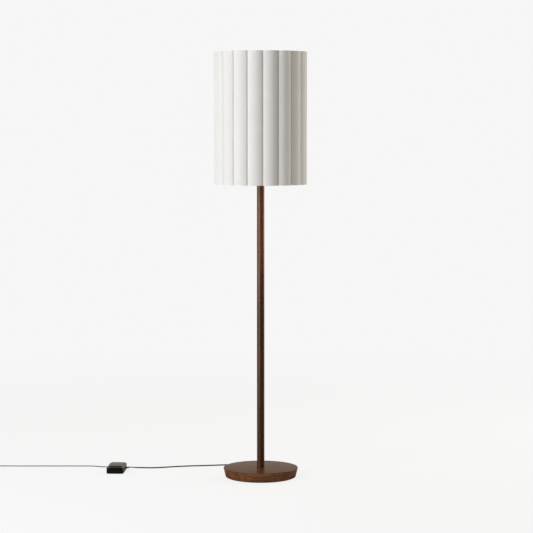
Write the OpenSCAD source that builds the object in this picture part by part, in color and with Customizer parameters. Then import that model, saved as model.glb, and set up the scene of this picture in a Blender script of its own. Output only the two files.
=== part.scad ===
// Wooden floor lamp with a scalloped drum shade, a turned base and a foot switch on its cord.
// Millimetres, +Z up. The origin is on the floor under the middle of the base, the front faces -Y.

/* [Overall] */
// Height of the shade's rim above the floor
rim_z = 1525; // [1450:5:1650]
// Depth of the shade's hanging seat below its rim
seat_drop = 25; // [20:1:32]

/* [Base] */
// Radius of the wooden base at its top corner, before rounding
base_r = 134.4; // [128:0.2:145]
// Radius of the wooden base at its foot corner, before rounding
base_foot_r = 126; // [122:0.5:129]
// Thickness of the wooden base
base_t = 33.4; // [28:0.2:38]
// Rounding of the base's top edge
base_top_round = 2.6; // [1:0.1:4]
// Rounding of the base's foot edge
base_foot_round = 1.4; // [0.5:0.1:2]
// Thickness of the felt under the base
pad_t = 2.4; // [1.5:0.1:3.5]
// Width of wood left bare round the felt
pad_margin = 6; // [3:0.5:12]
// Width of wood between the cast weight and the base's foot corner
weight_wall = 31; // [28:0.5:36]
// Thickness of the cast weight
weight_t = 21.1; // [20:0.1:23]
// Distance that the weight lies above the foot of the wood
weight_lift = 1; // [0.5:0.1:1.5]
// Thickness of the iron left above the nut's pocket
weight_web = 3; // [2:0.1:4]
// Radius of the nut's pocket in the weight
pocket_r = 18; // [15:0.5:22]
// Depth to which the pole is let into the base
pole_seat = 3; // [1:0.1:4]

/* [Pole] */
// Radius of the wooden pole
pole_r = 13.5; // [12:0.1:16]
// Height of the joint between the two lengths of pole
pole_joint_z = 634.5; // [400:0.5:900]
// Chamfer on the edges of the pole's joint
joint_chamfer = 0.7; // [0.2:0.1:1.5]
// Height of the metal cap on the pole
cap_h = 10; // [7:0.5:14]
// Radius of the metal cap at its top
cap_top_r = 8.5; // [8:0.1:10]

/* [Threaded pipe] */
// Outer radius of the threaded pipe
pipe_r = 5; // [4.5:0.05:5.5]
// Inner radius of the threaded pipe
pipe_bore_r = 3.25; // [3:0.05:3.5]
// Height of the pipe's lower end above the cord's way through the base
pipe_end_lift = 4; // [3.5:0.1:5]
// Width of the base nut across its flats
nut_flats = 17; // [15:0.5:19]
// Height of the base nut
nut_h = 5; // [4:0.1:5.5]
// Radius of the base washer
washer_r = 14; // [12:0.5:14.5]
// Thickness of the base washer
washer_t = 2; // [1.2:0.1:2.2]
// Radius of the sleeve that joins the two pipes
coupling_r = 7; // [6.5:0.1:8]
// Length of the sleeve that joins the two pipes
coupling_len = 26; // [20:1:40]
// Length of pipe that stands up into the socket's cap
pipe_top_len = 9; // [7:0.5:10]
// Radial clearance round the pipe in wood and iron
pipe_room = 0.3; // [0.2:0.05:0.6]
// Radial clearance between a thread and its nut
thread_room = 0.05; // [0.02:0.01:0.1]

/* [Fits] */
// Clearance between parts that are pushed together
push_room = 0.1; // [0.05:0.05:0.3]
// Radial clearance of the spider and the washer round the stud
stud_room = 0.4; // [0.2:0.05:0.6]

/* [Harp] */
// Height of the harp from its saddle to the shade's seat
harp_h = 305; // [290:1:320]
// Radius of the harp's wire
harp_wire_r = 2; // [1.6:0.1:2.4]
// Distance of each harp leg from the lamp's axis
harp_leg_x = 31; // [28:0.5:36]
// Radius of the bend where a leg turns outwards
harp_foot_bend = 30; // [20:1:40]
// Angle at which a leg leans outwards
harp_out = 25; // [18:1:30]
// Angle at which the bow leans inwards before its crown
harp_in = 10; // [6:1:14]
// Thickness of the saddle's strip
saddle_t = 1.6; // [1.2:0.1:2.2]
// Width of the saddle's strip
saddle_w = 12; // [11:0.5:14]
// Height of the saddle's upturned ends
saddle_h = 14; // [10:0.5:18]
// Height of the pegs on the saddle's ends
peg_h = 8; // [6:0.5:10]
// Length of the lock sleeves
sleeve_len = 14; // [12:0.5:16]
// Outer radius of the lock sleeves
sleeve_r = 4; // [3.4:0.1:4.6]
// Radial clearance of the lock sleeves on the wire
sleeve_room = 0.3; // [0.1:0.05:0.4]
// Travel of the lock sleeves
sleeve_travel = 12; // [9:0.5:13]
// Radius of the threaded stud on the harp
stud_r = 3.1; // [2.8:0.05:3.2]
// Length of the threaded stud
stud_len = 13; // [11:0.5:15]
// Radius of the swivel block under the stud
block_r = 6; // [5.5:0.1:7.5]
// Height of the swivel block
block_h = 8.5; // [8:0.1:9.5]

/* [Socket] */
// Outer radius of the socket's shell
socket_r = 16.9; // [16.5:0.1:18]
// Wall of the socket's metal parts
socket_wall = 0.8; // [0.5:0.05:1]
// Height of the socket's shell
socket_shell_h = 45; // [44:0.5:48]
// Height of the socket's cap
socket_cap_h = 26; // [25:0.5:29]
// Wall of the card tube inside the shell
liner_wall = 0.8; // [0.5:0.05:1]
// Thickness of the socket's insulating block
insulator_h = 12; // [10:0.5:13]
// Height of the threaded shell
screw_shell_h = 26; // [24:0.5:27]

/* [Bulb] */
// Largest radius of the bulb
bulb_r = 30; // [28:0.5:33]
// Length of the bulb over all
bulb_len = 108; // [100:1:116]
// Radius of the bulb's screw cap over its thread
bulb_cap_r = 13.1; // [12.9:0.05:13.2]
// Length of the bulb's screw cap with its contact
bulb_cap_len = 26; // [25:0.5:27]
// Pitch of the bulb's thread
bulb_pitch = 3.63; // [3.5:0.01:3.7]
// Depth of the bulb's thread
bulb_thread = 0.5; // [0.3:0.05:0.6]
// Length of the bulb's plastic collar
collar_len = 26; // [20:1:34]
// Radius of the bulb's plastic collar at its top
collar_r = 24; // [20:0.5:27]

/* [Shade] */
// Number of scallops round the shade
lobes = 18; // [14:1:22]
// Height of the shade
shade_h = 470; // [420:2:540]
// Distance of each scallop's centre from the lamp's axis
lobe_c = 121.4; // [118:0.1:126]
// Radius of each scallop
lobe_r = 43.7; // [42:0.1:48]
// Angle of one groove to the right of the front
groove_turn = 3.1; // [0:0.1:20]
// Thickness of the stiffened fabric
panel_t = 1.6; // [1:0.1:2.2]
// Gap between neighbouring panels in a groove
panel_gap = 0.2; // [0.1:0.05:0.4]
// Radius of the wire of the two rings
ring_wire_r = 1.75; // [1.4:0.05:2.4]
// Distance of each ring from the shade's edge
ring_inset = 4; // [3.5:0.5:8]
// Radius of the upright wires in the grooves
rib_r = 1.2; // [0.9:0.1:1.5]
// Thickness of the tape wound over the rings
tape_t = 0.6; // [0.4:0.1:1]
// Number of arms of the spider
arms = 3; // [3:1:4]
// Radius of the spider's arms
arm_r = 2; // [1.6:0.1:2.3]
// Radius at which the spider's arms turn upwards
arm_bend_at = 112; // [80:1:125]
// Radius of the spider's hub
hub_r = 11; // [9:0.5:13]
// Thickness of the spider's hub
hub_t = 2; // [1.5:0.1:2.6]
// Thickness of the washer under the finial
finial_washer_t = 1; // [0.8:0.1:1.4]
// Height of the finial
finial_h = 20; // [17:0.5:21]
// Largest radius of the finial
finial_r = 8; // [7:0.1:10]

/* [Foot switch] */
// Width of the foot switch
switch_w = 61.5; // [58:0.5:65]
// Length of the foot switch
switch_len = 117; // [112:0.5:120]
// Height of the switch's housing above the floor
switch_h = 24; // [22:0.5:28]
// Height of the pedal above the housing at rest
pedal_proud = 3.2; // [2.8:0.1:4.2]
// Travel of the pedal
pedal_travel = 2.5; // [1.5:0.1:2.7]
// Width of the pedal's face
pedal_w = 49; // [46:0.5:50]
// Length of the pedal's face
pedal_len = 86; // [80:0.5:88]
// Gap between the pedal and the housing
pedal_room = 0.4; // [0.3:0.05:0.6]
// Width of the rim that keeps the pedal in its housing
pedal_rim = 1.8; // [1.4:0.1:2]
// Corner radius of the housing at its front
front_round = 9; // [7:0.5:11]
// Corner radius of the housing at its rear
rear_round = 16; // [15:0.5:18]
// Rounding of the housing's top edge
switch_edge = 3; // [1:0.1:3.5]
// Wall of the switch's housing
switch_wall = 2.2; // [1.8:0.1:2.4]
// Height of the switch's rubber feet
foot_h = 1.5; // [1:0.1:2]
// Radius of the switch's rubber feet
foot_r = 4.5; // [3.5:0.1:6]
// Height of the cord's way into the switch above the floor
lead_z = 4.8; // [4.6:0.1:5.4]
// Angle at which the two leads fan out from the rear
lead_fan = 50; // [40:1:60]
// Length of the switch's strain reliefs
relief_len = 20; // [20:1:24]
// Length of each strain relief that lies inside the housing
relief_in = 6; // [5:0.5:7]

/* [Cord] */
// Width of the flat twin cord
cord_w = 5.4; // [5:0.1:5.8]
// Thickness of the flat twin cord
cord_t = 2.7; // [2.5:0.1:2.9]
// Height of the cord's way out of the base
exit_z = 9.5; // [9.3:0.1:10.5]
// Inner bend of the cord at the foot of the pipe
foot_bend = 7; // [6.5:0.1:8]
// Radius of the base's strain relief where it sits in the wood
gland_r = 4.7; // [4.4:0.1:5.2]
// Radius of the strain relief's flange
flange_r = 5.8; // [5.4:0.1:6.2]
// Thickness of the strain relief's flange
flange_t = 2; // [1.2:0.1:2.4]
// Length of the tapered tail of the strain relief
gland_tail = 24; // [20:1:40]
// Radius of the tapered tail at its end
gland_tip_r = 3.6; // [3.4:0.1:4]
// Turns in each layer of the coil, between its ends
coil_turns = 3; // [2:1:4]
// Radius of the coil's innermost turn
coil_in_r = 23.5; // [22:0.5:30]
// Gap between neighbouring turns and layers of the coil
coil_gap = 0.5; // [0.45:0.05:1]
// Thickness of the band that ties the coil
tie_t = 0.7; // [0.5:0.1:1]
// Width of the band that ties the coil
tie_w = 10; // [6:0.5:14]

/* [Plug] */
// Largest width of the plug
plug_w = 25; // [23:0.5:28]
// Thickness of the plug
plug_t = 14.4; // [13:0.2:16]
// Length of the plug's body
plug_len = 34; // [30:1:40]
// Length of the plug's tapered neck
neck_len = 20; // [20:1:30]
// Distance between the two blades
blade_pitch = 12.7; // [12.7:0.1:12.8]
// Length of the blades
blade_len = 17.5; // [16:0.5:18.2]
// Thickness of the blades
blade_t = 1.5; // [1.4:0.05:1.6]
// Width of the narrow blade
blade_w = 6.35; // [6.2:0.05:6.5]
// Width of the wide blade
blade_wide = 7.9; // [7.7:0.1:8]

/* [Hidden] */

$fn = 64;
touch = 0.02;
cut = 1;
right_angle = 90;
full_turn = 360;

wood_dark = "#4a2b1c";
wood_base = "#5d3a27";
iron = "#4b4d50";
steel = "#b9bcc0";
brass = "#b08d57";
bronze = "#5a4634";
black = "#1b1b1c";
felt = "#2c2622";
linen = "#e6e3dd";
white = "#f0efeb";
card = "#8a6a3c";
module_grey = "#3a3c40";

// Heights of the lamp from the floor up
weight_z = pad_t + weight_lift;
weight_r = base_foot_r - weight_wall;
weight_top = weight_z + weight_t;
base_top = pad_t + base_t;
pipe_bottom = exit_z + pipe_end_lift;
washer_z = weight_top - weight_web - washer_t;
nut_z = washer_z - nut_h;
seat_z = rim_z - seat_drop;
saddle_z = seat_z - harp_h;
pole_top = saddle_z - cap_h;
socket_z = saddle_z + saddle_t;
pipe_top = socket_z + pipe_top_len;
shade_z = rim_z - shade_h;

// Points of an arc about c
function arc_points(c, r, from, to, steps = 8) =
    [for (i = [0:steps]) let(a = from + (to - from) * i / steps) c + r * [cos(a), sin(a)]];

module tube(r_out, r_in, h) {
    difference() {
        cylinder(r = r_out, h = h);
        translate([0, 0, -cut]) cylinder(r = r_in, h = h + 2 * cut);
    }
}

// Turns a shape drawn along +Z so that it points along +Y
module along_y() {
    rotate([-right_angle, 0, 0]) children();
}

// Section of the flat twin cord, two round cores side by side
module cord_section(room = 0) {
    core_r = cord_t / 2 + room;
    core_x = (cord_w - cord_t) / 2;
    for (side = [-1, 1]) translate([side * core_x, 0]) circle(r = core_r);
    square([2 * core_x, core_r * 1.5], center = true);
}

// The base

weight_room = 0.5;
gland_sunk = 0.3;
gland_back_room = 5.5;
rim_at_exit = base_foot_r + (base_r - base_foot_r) * (exit_z - pad_t) / base_t;
gland_seat = rim_at_exit - gland_sunk - flange_t;
gland_in = gland_seat - weight_r - gland_back_room;
gland_tip = gland_seat + flange_t + gland_tail;

module base_disc() {
    slope = atan2(base_r - base_foot_r, base_t);
    foot_c = [base_foot_r - base_foot_round * (1 - sin(slope)) / cos(slope), pad_t + base_foot_round];
    top_c = [base_r - base_top_round * (1 + sin(slope)) / cos(slope), base_top - base_top_round];
    color(wood_base) difference() {
        rotate_extrude() polygon(concat(
            [[0, pad_t]],
            arc_points(foot_c, base_foot_round, -right_angle, -slope),
            arc_points(top_c, base_top_round, -slope, right_angle),
            [[0, base_top]]
        ));
        translate([0, 0, pad_t - cut]) cylinder(r = weight_r + weight_room, h = weight_top - pad_t + cut);
        cylinder(r = pipe_r + pipe_room, h = base_top + cut);
        translate([0, 0, base_top - pole_seat]) cylinder(r = pole_r + push_room, h = pole_seat + cut);
        translate([0, weight_r, exit_z]) along_y() cylinder(r = gland_r + push_room, h = base_r);
        translate([0, gland_seat, exit_z]) along_y() cylinder(r = flange_r + push_room, h = base_r);
    }
}

module base_weight() {
    groove_w = cord_w + 2.6;
    groove_top = exit_z + cord_t;
    pocket_top = washer_z + washer_t;
    color(iron) difference() {
        translate([0, 0, weight_z]) cylinder(r = weight_r, h = weight_t);
        translate([0, 0, weight_z - cut]) cylinder(r = pocket_r, h = pocket_top - weight_z + cut);
        cylinder(r = pipe_r + pipe_room, h = weight_top + cut);
        translate([-groove_w / 2, 0, weight_z - cut])
            cube([groove_w, weight_r + cut, groove_top - weight_z + cut]);
    }
}

module base_pad() {
    color(felt) cylinder(r = base_foot_r - pad_margin, h = pad_t);
}

module base_washer() {
    color(steel) translate([0, 0, washer_z]) tube(washer_r, pipe_r + pipe_room, washer_t);
}

module base_nut() {
    color(steel) translate([0, 0, nut_z]) difference() {
        cylinder(r = nut_flats / sqrt(3), h = nut_h, $fn = 6);
        translate([0, 0, -cut]) cylinder(r = pipe_r + thread_room, h = nut_h + 2 * cut);
    }
}

// The pipe and the pole

pipe_half_gap = 0.2;
coupling_room = 0.15;

module pipe_lower() {
    color(steel) translate([0, 0, pipe_bottom])
        tube(pipe_r, pipe_bore_r, pole_joint_z - pipe_half_gap - pipe_bottom);
}

module pipe_upper() {
    color(steel) translate([0, 0, pole_joint_z + pipe_half_gap])
        tube(pipe_r, pipe_bore_r, pipe_top - pole_joint_z - pipe_half_gap);
}

module pipe_coupling() {
    color(brass) translate([0, 0, pole_joint_z - coupling_len / 2])
        tube(coupling_r, pipe_r + thread_room, coupling_len);
}

// One turned length of the pole, bored for the pipe, with a pocket for half of the coupling
module pole_length(from, to, joint_at_top) {
    ring = [[pipe_r + pipe_room, from], [pole_r, from], [pole_r, to], [pipe_r + pipe_room, to]];
    joint = joint_at_top ? to : from;
    into = joint_at_top ? -1 : 1;
    pocket = coupling_len / 2 + coupling_room;
    color(wood_dark) difference() {
        rotate_extrude() polygon(ring);
        translate([0, 0, joint_at_top ? joint - pocket : joint - cut])
            cylinder(r = coupling_r + coupling_room, h = pocket + cut);
        rotate_extrude() polygon([
            [pole_r + cut, joint - into * cut],
            [pole_r - joint_chamfer - cut, joint - into * cut],
            [pole_r - joint_chamfer, joint],
            [pole_r, joint + into * joint_chamfer],
            [pole_r + cut, joint + into * joint_chamfer]
        ]);
    }
}

module pole_lower() {
    pole_length(base_top - pole_seat, pole_joint_z, true);
}

module pole_upper() {
    pole_length(pole_joint_z, pole_top, false);
}

module pole_cap() {
    lip_h = 2;
    hollow_r = pole_r - cap_top_r;
    color(bronze) rotate_extrude() polygon(concat(
        [[pipe_r + pipe_room, pole_top], [pole_r, pole_top], [pole_r, pole_top + lip_h]],
        arc_points([pole_r, pole_top + lip_h + hollow_r], hollow_r, -right_angle, -2 * right_angle),
        [[cap_top_r, saddle_z], [pipe_r + pipe_room, saddle_z]]
    ));
}

// The harp, its saddle and its lock sleeves

peg_z = saddle_z + saddle_h;
leg_z = peg_z + peg_h;
wire_top = seat_z - block_h / 2;
sleeve_spare = 2;
straight_top = peg_z + sleeve_len + sleeve_travel + sleeve_spare;
bow_rise = wire_top - straight_top - harp_foot_bend * sin(harp_out);
bow_step = harp_leg_x + harp_foot_bend * (1 - cos(harp_out));
bow_a = sin(harp_out) + sin(harp_in);
bow_b = cos(harp_in) - cos(harp_out);
bow_r = (bow_rise * cos(harp_in) - bow_step * (1 - sin(harp_in)))
    / (bow_a * cos(harp_in) + bow_b * (1 - sin(harp_in)));
crown_r = (bow_step + bow_r * bow_b) / cos(harp_in);

module harp_saddle() {
    color(brass) difference() {
        union() {
            translate([-harp_leg_x - saddle_t / 2, -saddle_w / 2, saddle_z])
                cube([2 * harp_leg_x + saddle_t, saddle_w, saddle_t]);
            for (side = [-1, 1]) translate([side * harp_leg_x, 0, 0]) {
                translate([-saddle_t / 2, -saddle_w / 2, saddle_z])
                    cube([saddle_t, saddle_w, saddle_h - saddle_w / 2]);
                translate([-saddle_t / 2, 0, peg_z - saddle_w / 2])
                    rotate([0, right_angle, 0]) cylinder(r = saddle_w / 2, h = saddle_t);
                translate([0, 0, peg_z - 2 * harp_wire_r]) cylinder(r = sleeve_r, h = 2 * harp_wire_r);
                translate([0, 0, peg_z]) cylinder(r = harp_wire_r, h = peg_h);
            }
        }
        translate([0, 0, saddle_z - cut]) cylinder(r = pipe_r + pipe_room, h = saddle_t + 2 * cut);
    }
}

// Points of an arc in the XZ plane about c
function upright_arc(c, r, from, to, steps) =
    [for (p = arc_points(c, r, from, to, steps)) [p[0], 0, p[1]]];

// Middle line of the wire on the right: leg, foot bend, bow and half of the crown
harp_right = let(
    foot_c = [harp_leg_x + harp_foot_bend, straight_top],
    bow_c = [bow_step - bow_r * cos(harp_out), straight_top + (harp_foot_bend + bow_r) * sin(harp_out)]
) concat(
    [[harp_leg_x, 0, leg_z], [harp_leg_x, 0, (leg_z + straight_top) / 2]],
    upright_arc(foot_c, harp_foot_bend, 2 * right_angle, 2 * right_angle - harp_out, 3),
    [for (i = [1:8]) upright_arc(bow_c, bow_r, -harp_out, harp_in, 8)[i]],
    [for (i = [1:8]) upright_arc([0, wire_top - crown_r], crown_r, harp_in, right_angle, 8)[i]]
);

module harp_wire() {
    left = [for (i = [len(harp_right) - 2:-1:0]) [-harp_right[i][0], 0, harp_right[i][2]]];
    path = concat(harp_right, left);
    sides = 10;
    color(brass) skin([for (i = [0:len(path) - 1]) let(up = cross([0, 1, 0], heading(path, i)))
        [for (k = [0:sides - 1]) let(a = full_turn * k / sides)
            path[i] + harp_wire_r * (cos(a) * [0, 1, 0] + sin(a) * up)]]);
}

module harp_stud() {
    half_sag = block_r * block_r / crown_r / 4;
    way_r = harp_wire_r + half_sag + push_room;
    color(brass) difference() {
        union() {
            translate([0, 0, seat_z - block_h]) cylinder(r = block_r, h = block_h);
            translate([0, 0, seat_z]) cylinder(r = stud_r, h = stud_len);
        }
        translate([-block_r - cut, 0, wire_top - half_sag])
            rotate([0, right_angle, 0]) cylinder(r = way_r, h = 2 * (block_r + cut));
    }
}

// A sleeve with a slightly narrower waist between its two grips
module harp_sleeve(side) {
    grip_h = 3;
    grip_slope = 0.6;
    waist_r = sleeve_r - 0.4;
    bore = harp_wire_r + sleeve_room;
    top = peg_z + sleeve_len;
    color(brass) translate([side * harp_leg_x, 0, 0]) rotate_extrude() polygon([
        [bore, peg_z], [sleeve_r, peg_z], [sleeve_r, peg_z + grip_h],
        [waist_r, peg_z + grip_h + grip_slope], [waist_r, top - grip_h - grip_slope],
        [sleeve_r, top - grip_h], [sleeve_r, top], [bore, top]
    ]);
}

module harp_sleeve_left() {
    harp_sleeve(-1);
}

module harp_sleeve_right() {
    harp_sleeve(1);
}

// The socket

socket_cap_r = socket_r + push_room + socket_wall;
shell_lap = 6;
shell_z = socket_z + socket_cap_h - shell_lap;
liner_r = socket_r - socket_wall - push_room;
insulator_r = liner_r - liner_wall - push_room;
insulator_z = shell_z + 2;
terminal_x = insulator_r - 2.4;
terminal_z = insulator_z + insulator_h / 2;
terminal_r = 3.2;
screw_z = insulator_z + insulator_h;
contact_h = 6;
bulb_z = screw_z + contact_h;

module socket_cap() {
    hub_r_out = 8;
    hub_h = 5;
    dome = socket_cap_r - hub_r_out;
    dome_z = socket_z + hub_h + dome;
    rim = socket_z + socket_cap_h;
    bore = pipe_r + thread_room;
    color(brass) rotate_extrude() polygon(concat(
        [[bore, socket_z], [hub_r_out, socket_z]],
        arc_points([hub_r_out, dome_z], dome, -right_angle, 0),
        [[socket_cap_r, rim], [socket_cap_r - socket_wall, rim]],
        arc_points([hub_r_out, dome_z], dome - socket_wall, 0, -right_angle),
        [[bore, dome_z - dome + socket_wall]]
    ));
}

// The shell with one rolled bead above the cap and one below its open end
module socket_shell() {
    bead = 0.5;
    bead_half = 1.2;
    top = shell_z + socket_shell_h;
    line = [[0, -bead_half], [bead, -bead], [bead, bead], [0, bead_half]];
    color(brass) rotate_extrude() polygon(concat(
        [[socket_r - socket_wall, shell_z], [socket_r, shell_z]],
        [for (z = [shell_z + shell_lap + 8, top - 6], p = line) [socket_r + p[0], z + p[1]]],
        [[socket_r, top], [socket_r - socket_wall, top]]
    ));
}

module socket_liner() {
    color(card) translate([0, 0, shell_z + cut])
        tube(liner_r, liner_r - liner_wall, socket_shell_h - 2 * cut);
}

module socket_insulator() {
    slot_w = cord_w + 3;
    notch_w = 9;
    color(black) difference() {
        translate([0, 0, insulator_z]) cylinder(r = insulator_r, h = insulator_h);
        translate([-slot_w / 2, -cord_t, insulator_z - cut])
            cube([slot_w, 2 * cord_t, insulator_h / 2 + cut]);
        for (side = [-1, 1]) translate([side * (terminal_x + insulator_r), 0, terminal_z])
            cube([2 * insulator_r, notch_w, insulator_h + cut], center = true);
    }
}

// A shell rolled into rounds of the bulb's pitch, between two radii and two heights
module rolled_shell(r_out, r_in, depth, from, to) {
    rounds = floor((to - from) / bulb_pitch);
    steps = 6;
    wave = [for (i = [0:rounds * steps])
        [depth * (1 - cos(full_turn * i / steps)) / 2, from + bulb_pitch * i / steps]];
    rotate_extrude() polygon(concat(
        [[r_out - depth, from]],
        [for (p = wave) [r_out - depth + p[0], p[1]]],
        [[r_out - depth, to], [r_in - depth, to]],
        [for (i = [len(wave) - 1:-1:0]) [r_in - depth + wave[i][0], wave[i][1]]],
        [[r_in - depth, from]]
    ));
}

module screw_shell() {
    shell_in = bulb_cap_r + 0.15 + bulb_thread;
    shell_out = shell_in + 0.5;
    floor_hole_r = 6;
    color(steel) union() {
        rolled_shell(shell_out, shell_in, bulb_thread, screw_z, screw_z + screw_shell_h);
        translate([0, 0, screw_z]) tube(shell_in, floor_hole_r, socket_wall);
    }
}

module socket_contact() {
    leaf_w = 6;
    color(brass) translate([-leaf_w / 2, -leaf_w / 2, screw_z])
        cube([leaf_w, leaf_w, contact_h - touch]);
}

module terminal_screws() {
    head_t = 1.6;
    slit = 0.8;
    for (side = [-1, 1]) color(side < 0 ? steel : brass)
        translate([side * terminal_x, 0, terminal_z]) rotate([0, side * right_angle, 0]) difference() {
            cylinder(r = terminal_r, h = head_t);
            translate([-terminal_r, -slit / 2, head_t / 2]) cube([2 * terminal_r, slit, head_t]);
        }
}

lead_r = 1.1;
leads_from = pipe_top + 2;
module socket_leads() {
    lead_x = terminal_x + lead_r + push_room;
    lead_top = terminal_z - terminal_r - push_room;
    color(black) for (side = [-1, 1]) {
        start = [side * cord_w / 4, 0, leads_from];
        rise = start + [0, 0, 1.5];
        knee = [side * lead_x, 0, insulator_z - 3.5];
        wire_between(start, rise);
        wire_between(rise, knee);
        rod_between(knee, [knee[0], 0, lead_top]);
    }
}

// A round rod between two points
module rod_between(a, b, r = lead_r) {
    run = b - a;
    length = norm(run);
    translate(a) rotate([0, acos(run[2] / length), atan2(run[1], run[0])]) cylinder(r = r, h = length);
}

// A round wire between two points, with a slightly fuller bend at the second
module wire_between(a, b, r = lead_r) {
    rod_between(a, b, r);
    translate(b) sphere(r = r * 1.05);
}

module riser_cord() {
    bend_z = exit_z + foot_bend;
    color(black) union() {
        translate([0, foot_bend, exit_z]) along_y() linear_extrude(gland_tip - foot_bend) cord_section();
        translate([0, foot_bend, bend_z]) mirror([0, 1, 0]) rotate([0, right_angle, 0])
            rotate_extrude(angle = right_angle)
                translate([foot_bend, 0]) rotate(right_angle) cord_section();
        translate([0, 0, bend_z]) linear_extrude(leads_from - bend_z) cord_section();
    }
}

// The bulb

contact_t = 2.4;
bulb_ring_z = bulb_z + contact_t;
bulb_thread_z = bulb_ring_z + 3.6;
module bulb_contact() {
    color(steel) translate([0, 0, bulb_z]) cylinder(r1 = 3.4, r2 = 4.7, h = contact_t);
}

bulb_cap_top = bulb_z + bulb_cap_len;
module bulb_insulator() {
    color(black) translate([0, 0, bulb_ring_z])
        cylinder(r1 = 5.2, r2 = bulb_cap_r - socket_wall, h = bulb_thread_z - bulb_ring_z);
}

module bulb_cap() {
    color(steel)
        rolled_shell(bulb_cap_r, bulb_cap_r - socket_wall, bulb_thread, bulb_thread_z, bulb_cap_top);
}

collar_top = bulb_cap_top + collar_len;
dome_top = bulb_z + bulb_len;
module bulb_collar() {
    wall = 1.6;
    neck = bulb_cap_r + 0.6;
    flare = [for (i = [0:8]) let(s = i / 8)
        [neck + (collar_r - neck) * (1 - cos(2 * right_angle * s)) / 2, bulb_cap_top + collar_len * s]];
    color(white) rotate_extrude() polygon(concat(
        [[0, bulb_cap_top]], flare,
        [for (i = [8:-1:1]) flare[i] - [wall, 0]],
        [[neck - wall, bulb_cap_top + wall], [0, bulb_cap_top + wall]]
    ));
}

// Outline of the dome drawn in by a distance, from the collar to the crown
function dome_line(inset) = let(widest = dome_top - bulb_r) concat(
    [for (i = [0:7]) let(s = i / 8) [
        collar_r - inset + (bulb_r - collar_r) * sin(right_angle * s),
        collar_top + (widest - collar_top) * s
    ]],
    arc_points([0, widest], bulb_r - inset, 0, right_angle, 12)
);

module bulb_dome() {
    wall = 1.2;
    inner = dome_line(wall);
    color(white) rotate_extrude() polygon(concat(
        dome_line(0), [for (i = [len(inner) - 1:-1:0]) inner[i]]
    ));
}

// The shade

lobe_step = full_turn / lobes;
groove_from = groove_turn - right_angle;
function groove_reach(r) = lobe_c * cos(lobe_step / 2) + sqrt(r * r - pow(lobe_c * sin(lobe_step / 2), 2));
rib_at = groove_reach(lobe_r - panel_t - rib_r - push_room);
ring_r = rib_at - rib_r - ring_wire_r - touch;
top_ring_z = rim_z - ring_inset;
bottom_ring_z = shade_z + ring_inset;

module shade_panels() {
    half = lobe_step / 2 - asin(panel_gap / 2 / groove_reach(lobe_r));
    near = lobe_c;
    far = lobe_c + lobe_r + cut;
    color(linen) for (i = [0:lobes - 1]) rotate([0, 0, groove_from + lobe_step * (i + 0.5)])
        translate([0, 0, shade_z]) linear_extrude(shade_h)
            intersection() {
                difference() {
                    translate([lobe_c, 0]) circle(r = lobe_r, $fn = 128);
                    translate([lobe_c, 0]) circle(r = lobe_r - panel_t, $fn = 128);
                }
                polygon([
                    [near * cos(half), -near * sin(half)], [far * cos(half), -far * sin(half)],
                    [far, 0],
                    [far * cos(half), far * sin(half)], [near * cos(half), near * sin(half)]
                ]);
            }
}

module ring_at(z, r = ring_wire_r) {
    translate([0, 0, z]) rotate_extrude() translate([ring_r, 0]) circle(r = r);
}

module shade_top_ring() {
    color(steel) ring_at(top_ring_z);
}

module shade_bottom_ring() {
    color(steel) ring_at(bottom_ring_z);
}

module shade_ribs() {
    color(steel) for (i = [0:lobes - 1]) rotate([0, 0, groove_from + lobe_step * i])
        translate([rib_at, 0, bottom_ring_z]) cylinder(r = rib_r, h = top_ring_z - bottom_ring_z);
}

// Tape wound over a ring, open on the side where the ribs stand
module ring_tape(z) {
    color(linen) translate([0, 0, z]) rotate_extrude() difference() {
        translate([ring_r, 0]) circle(r = ring_wire_r + tape_t);
        translate([ring_r, 0]) circle(r = ring_wire_r + touch);
        translate([ring_r + ring_wire_r / 2, -ring_r]) square([ring_r, 2 * ring_r]);
    }
}

arm_first = right_angle;
module spider_arms(r) {
    rise_from = [arm_bend_at, 0, seat_z + hub_t / 2];
    rise_to = [ring_r, 0, top_ring_z];
    for (i = [0:arms - 1]) rotate([0, 0, arm_first + full_turn / arms * i]) {
        wire_between([hub_r - 2, 0, seat_z + hub_t / 2], rise_from, r);
        rod_between(rise_from, rise_to, r);
    }
}

module shade_top_tape() {
    difference() {
        ring_tape(top_ring_z);
        spider_arms(arm_r + push_room);
    }
}

module shade_bottom_tape() {
    ring_tape(bottom_ring_z);
}

module shade_spider() {
    arm_end = ring_r - ring_wire_r - touch;
    color(steel) difference() {
        union() {
            translate([0, 0, seat_z]) cylinder(r = hub_r, h = hub_t);
            spider_arms(arm_r);
        }
        translate([0, 0, seat_z]) tube(ring_r + lobe_r, arm_end, rim_z - seat_z);
        translate([0, 0, seat_z - cut]) cylinder(r = stud_r + stud_room, h = hub_t + 2 * cut);
    }
}

finial_z = seat_z + hub_t + finial_washer_t;

module finial_washer() {
    color(brass) translate([0, 0, seat_z + hub_t]) tube(finial_r, stud_r + stud_room, finial_washer_t);
}

module finial() {
    skirt_h = 5;
    skirt_round = 1;
    neck_r = stud_r + 2;
    ball_r = (finial_h - skirt_h) / 2;
    ball_z = finial_z + finial_h - ball_r;
    neck_at = acos(min(1, neck_r / ball_r));
    color(brass) difference() {
        rotate_extrude() polygon(concat(
            [[0, finial_z]],
            arc_points([finial_r - skirt_round, finial_z + skirt_round], skirt_round,
                -right_angle, right_angle),
            [[neck_r, finial_z + skirt_h - skirt_round]],
            arc_points([0, ball_z], ball_r, -neck_at, right_angle, 12)
        ));
        translate([0, 0, finial_z - cut])
            cylinder(r = stud_r + 0.2, h = seat_z + stud_len - finial_z + 2 * cut);
    }
}

// The strain relief in the base's side

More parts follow.
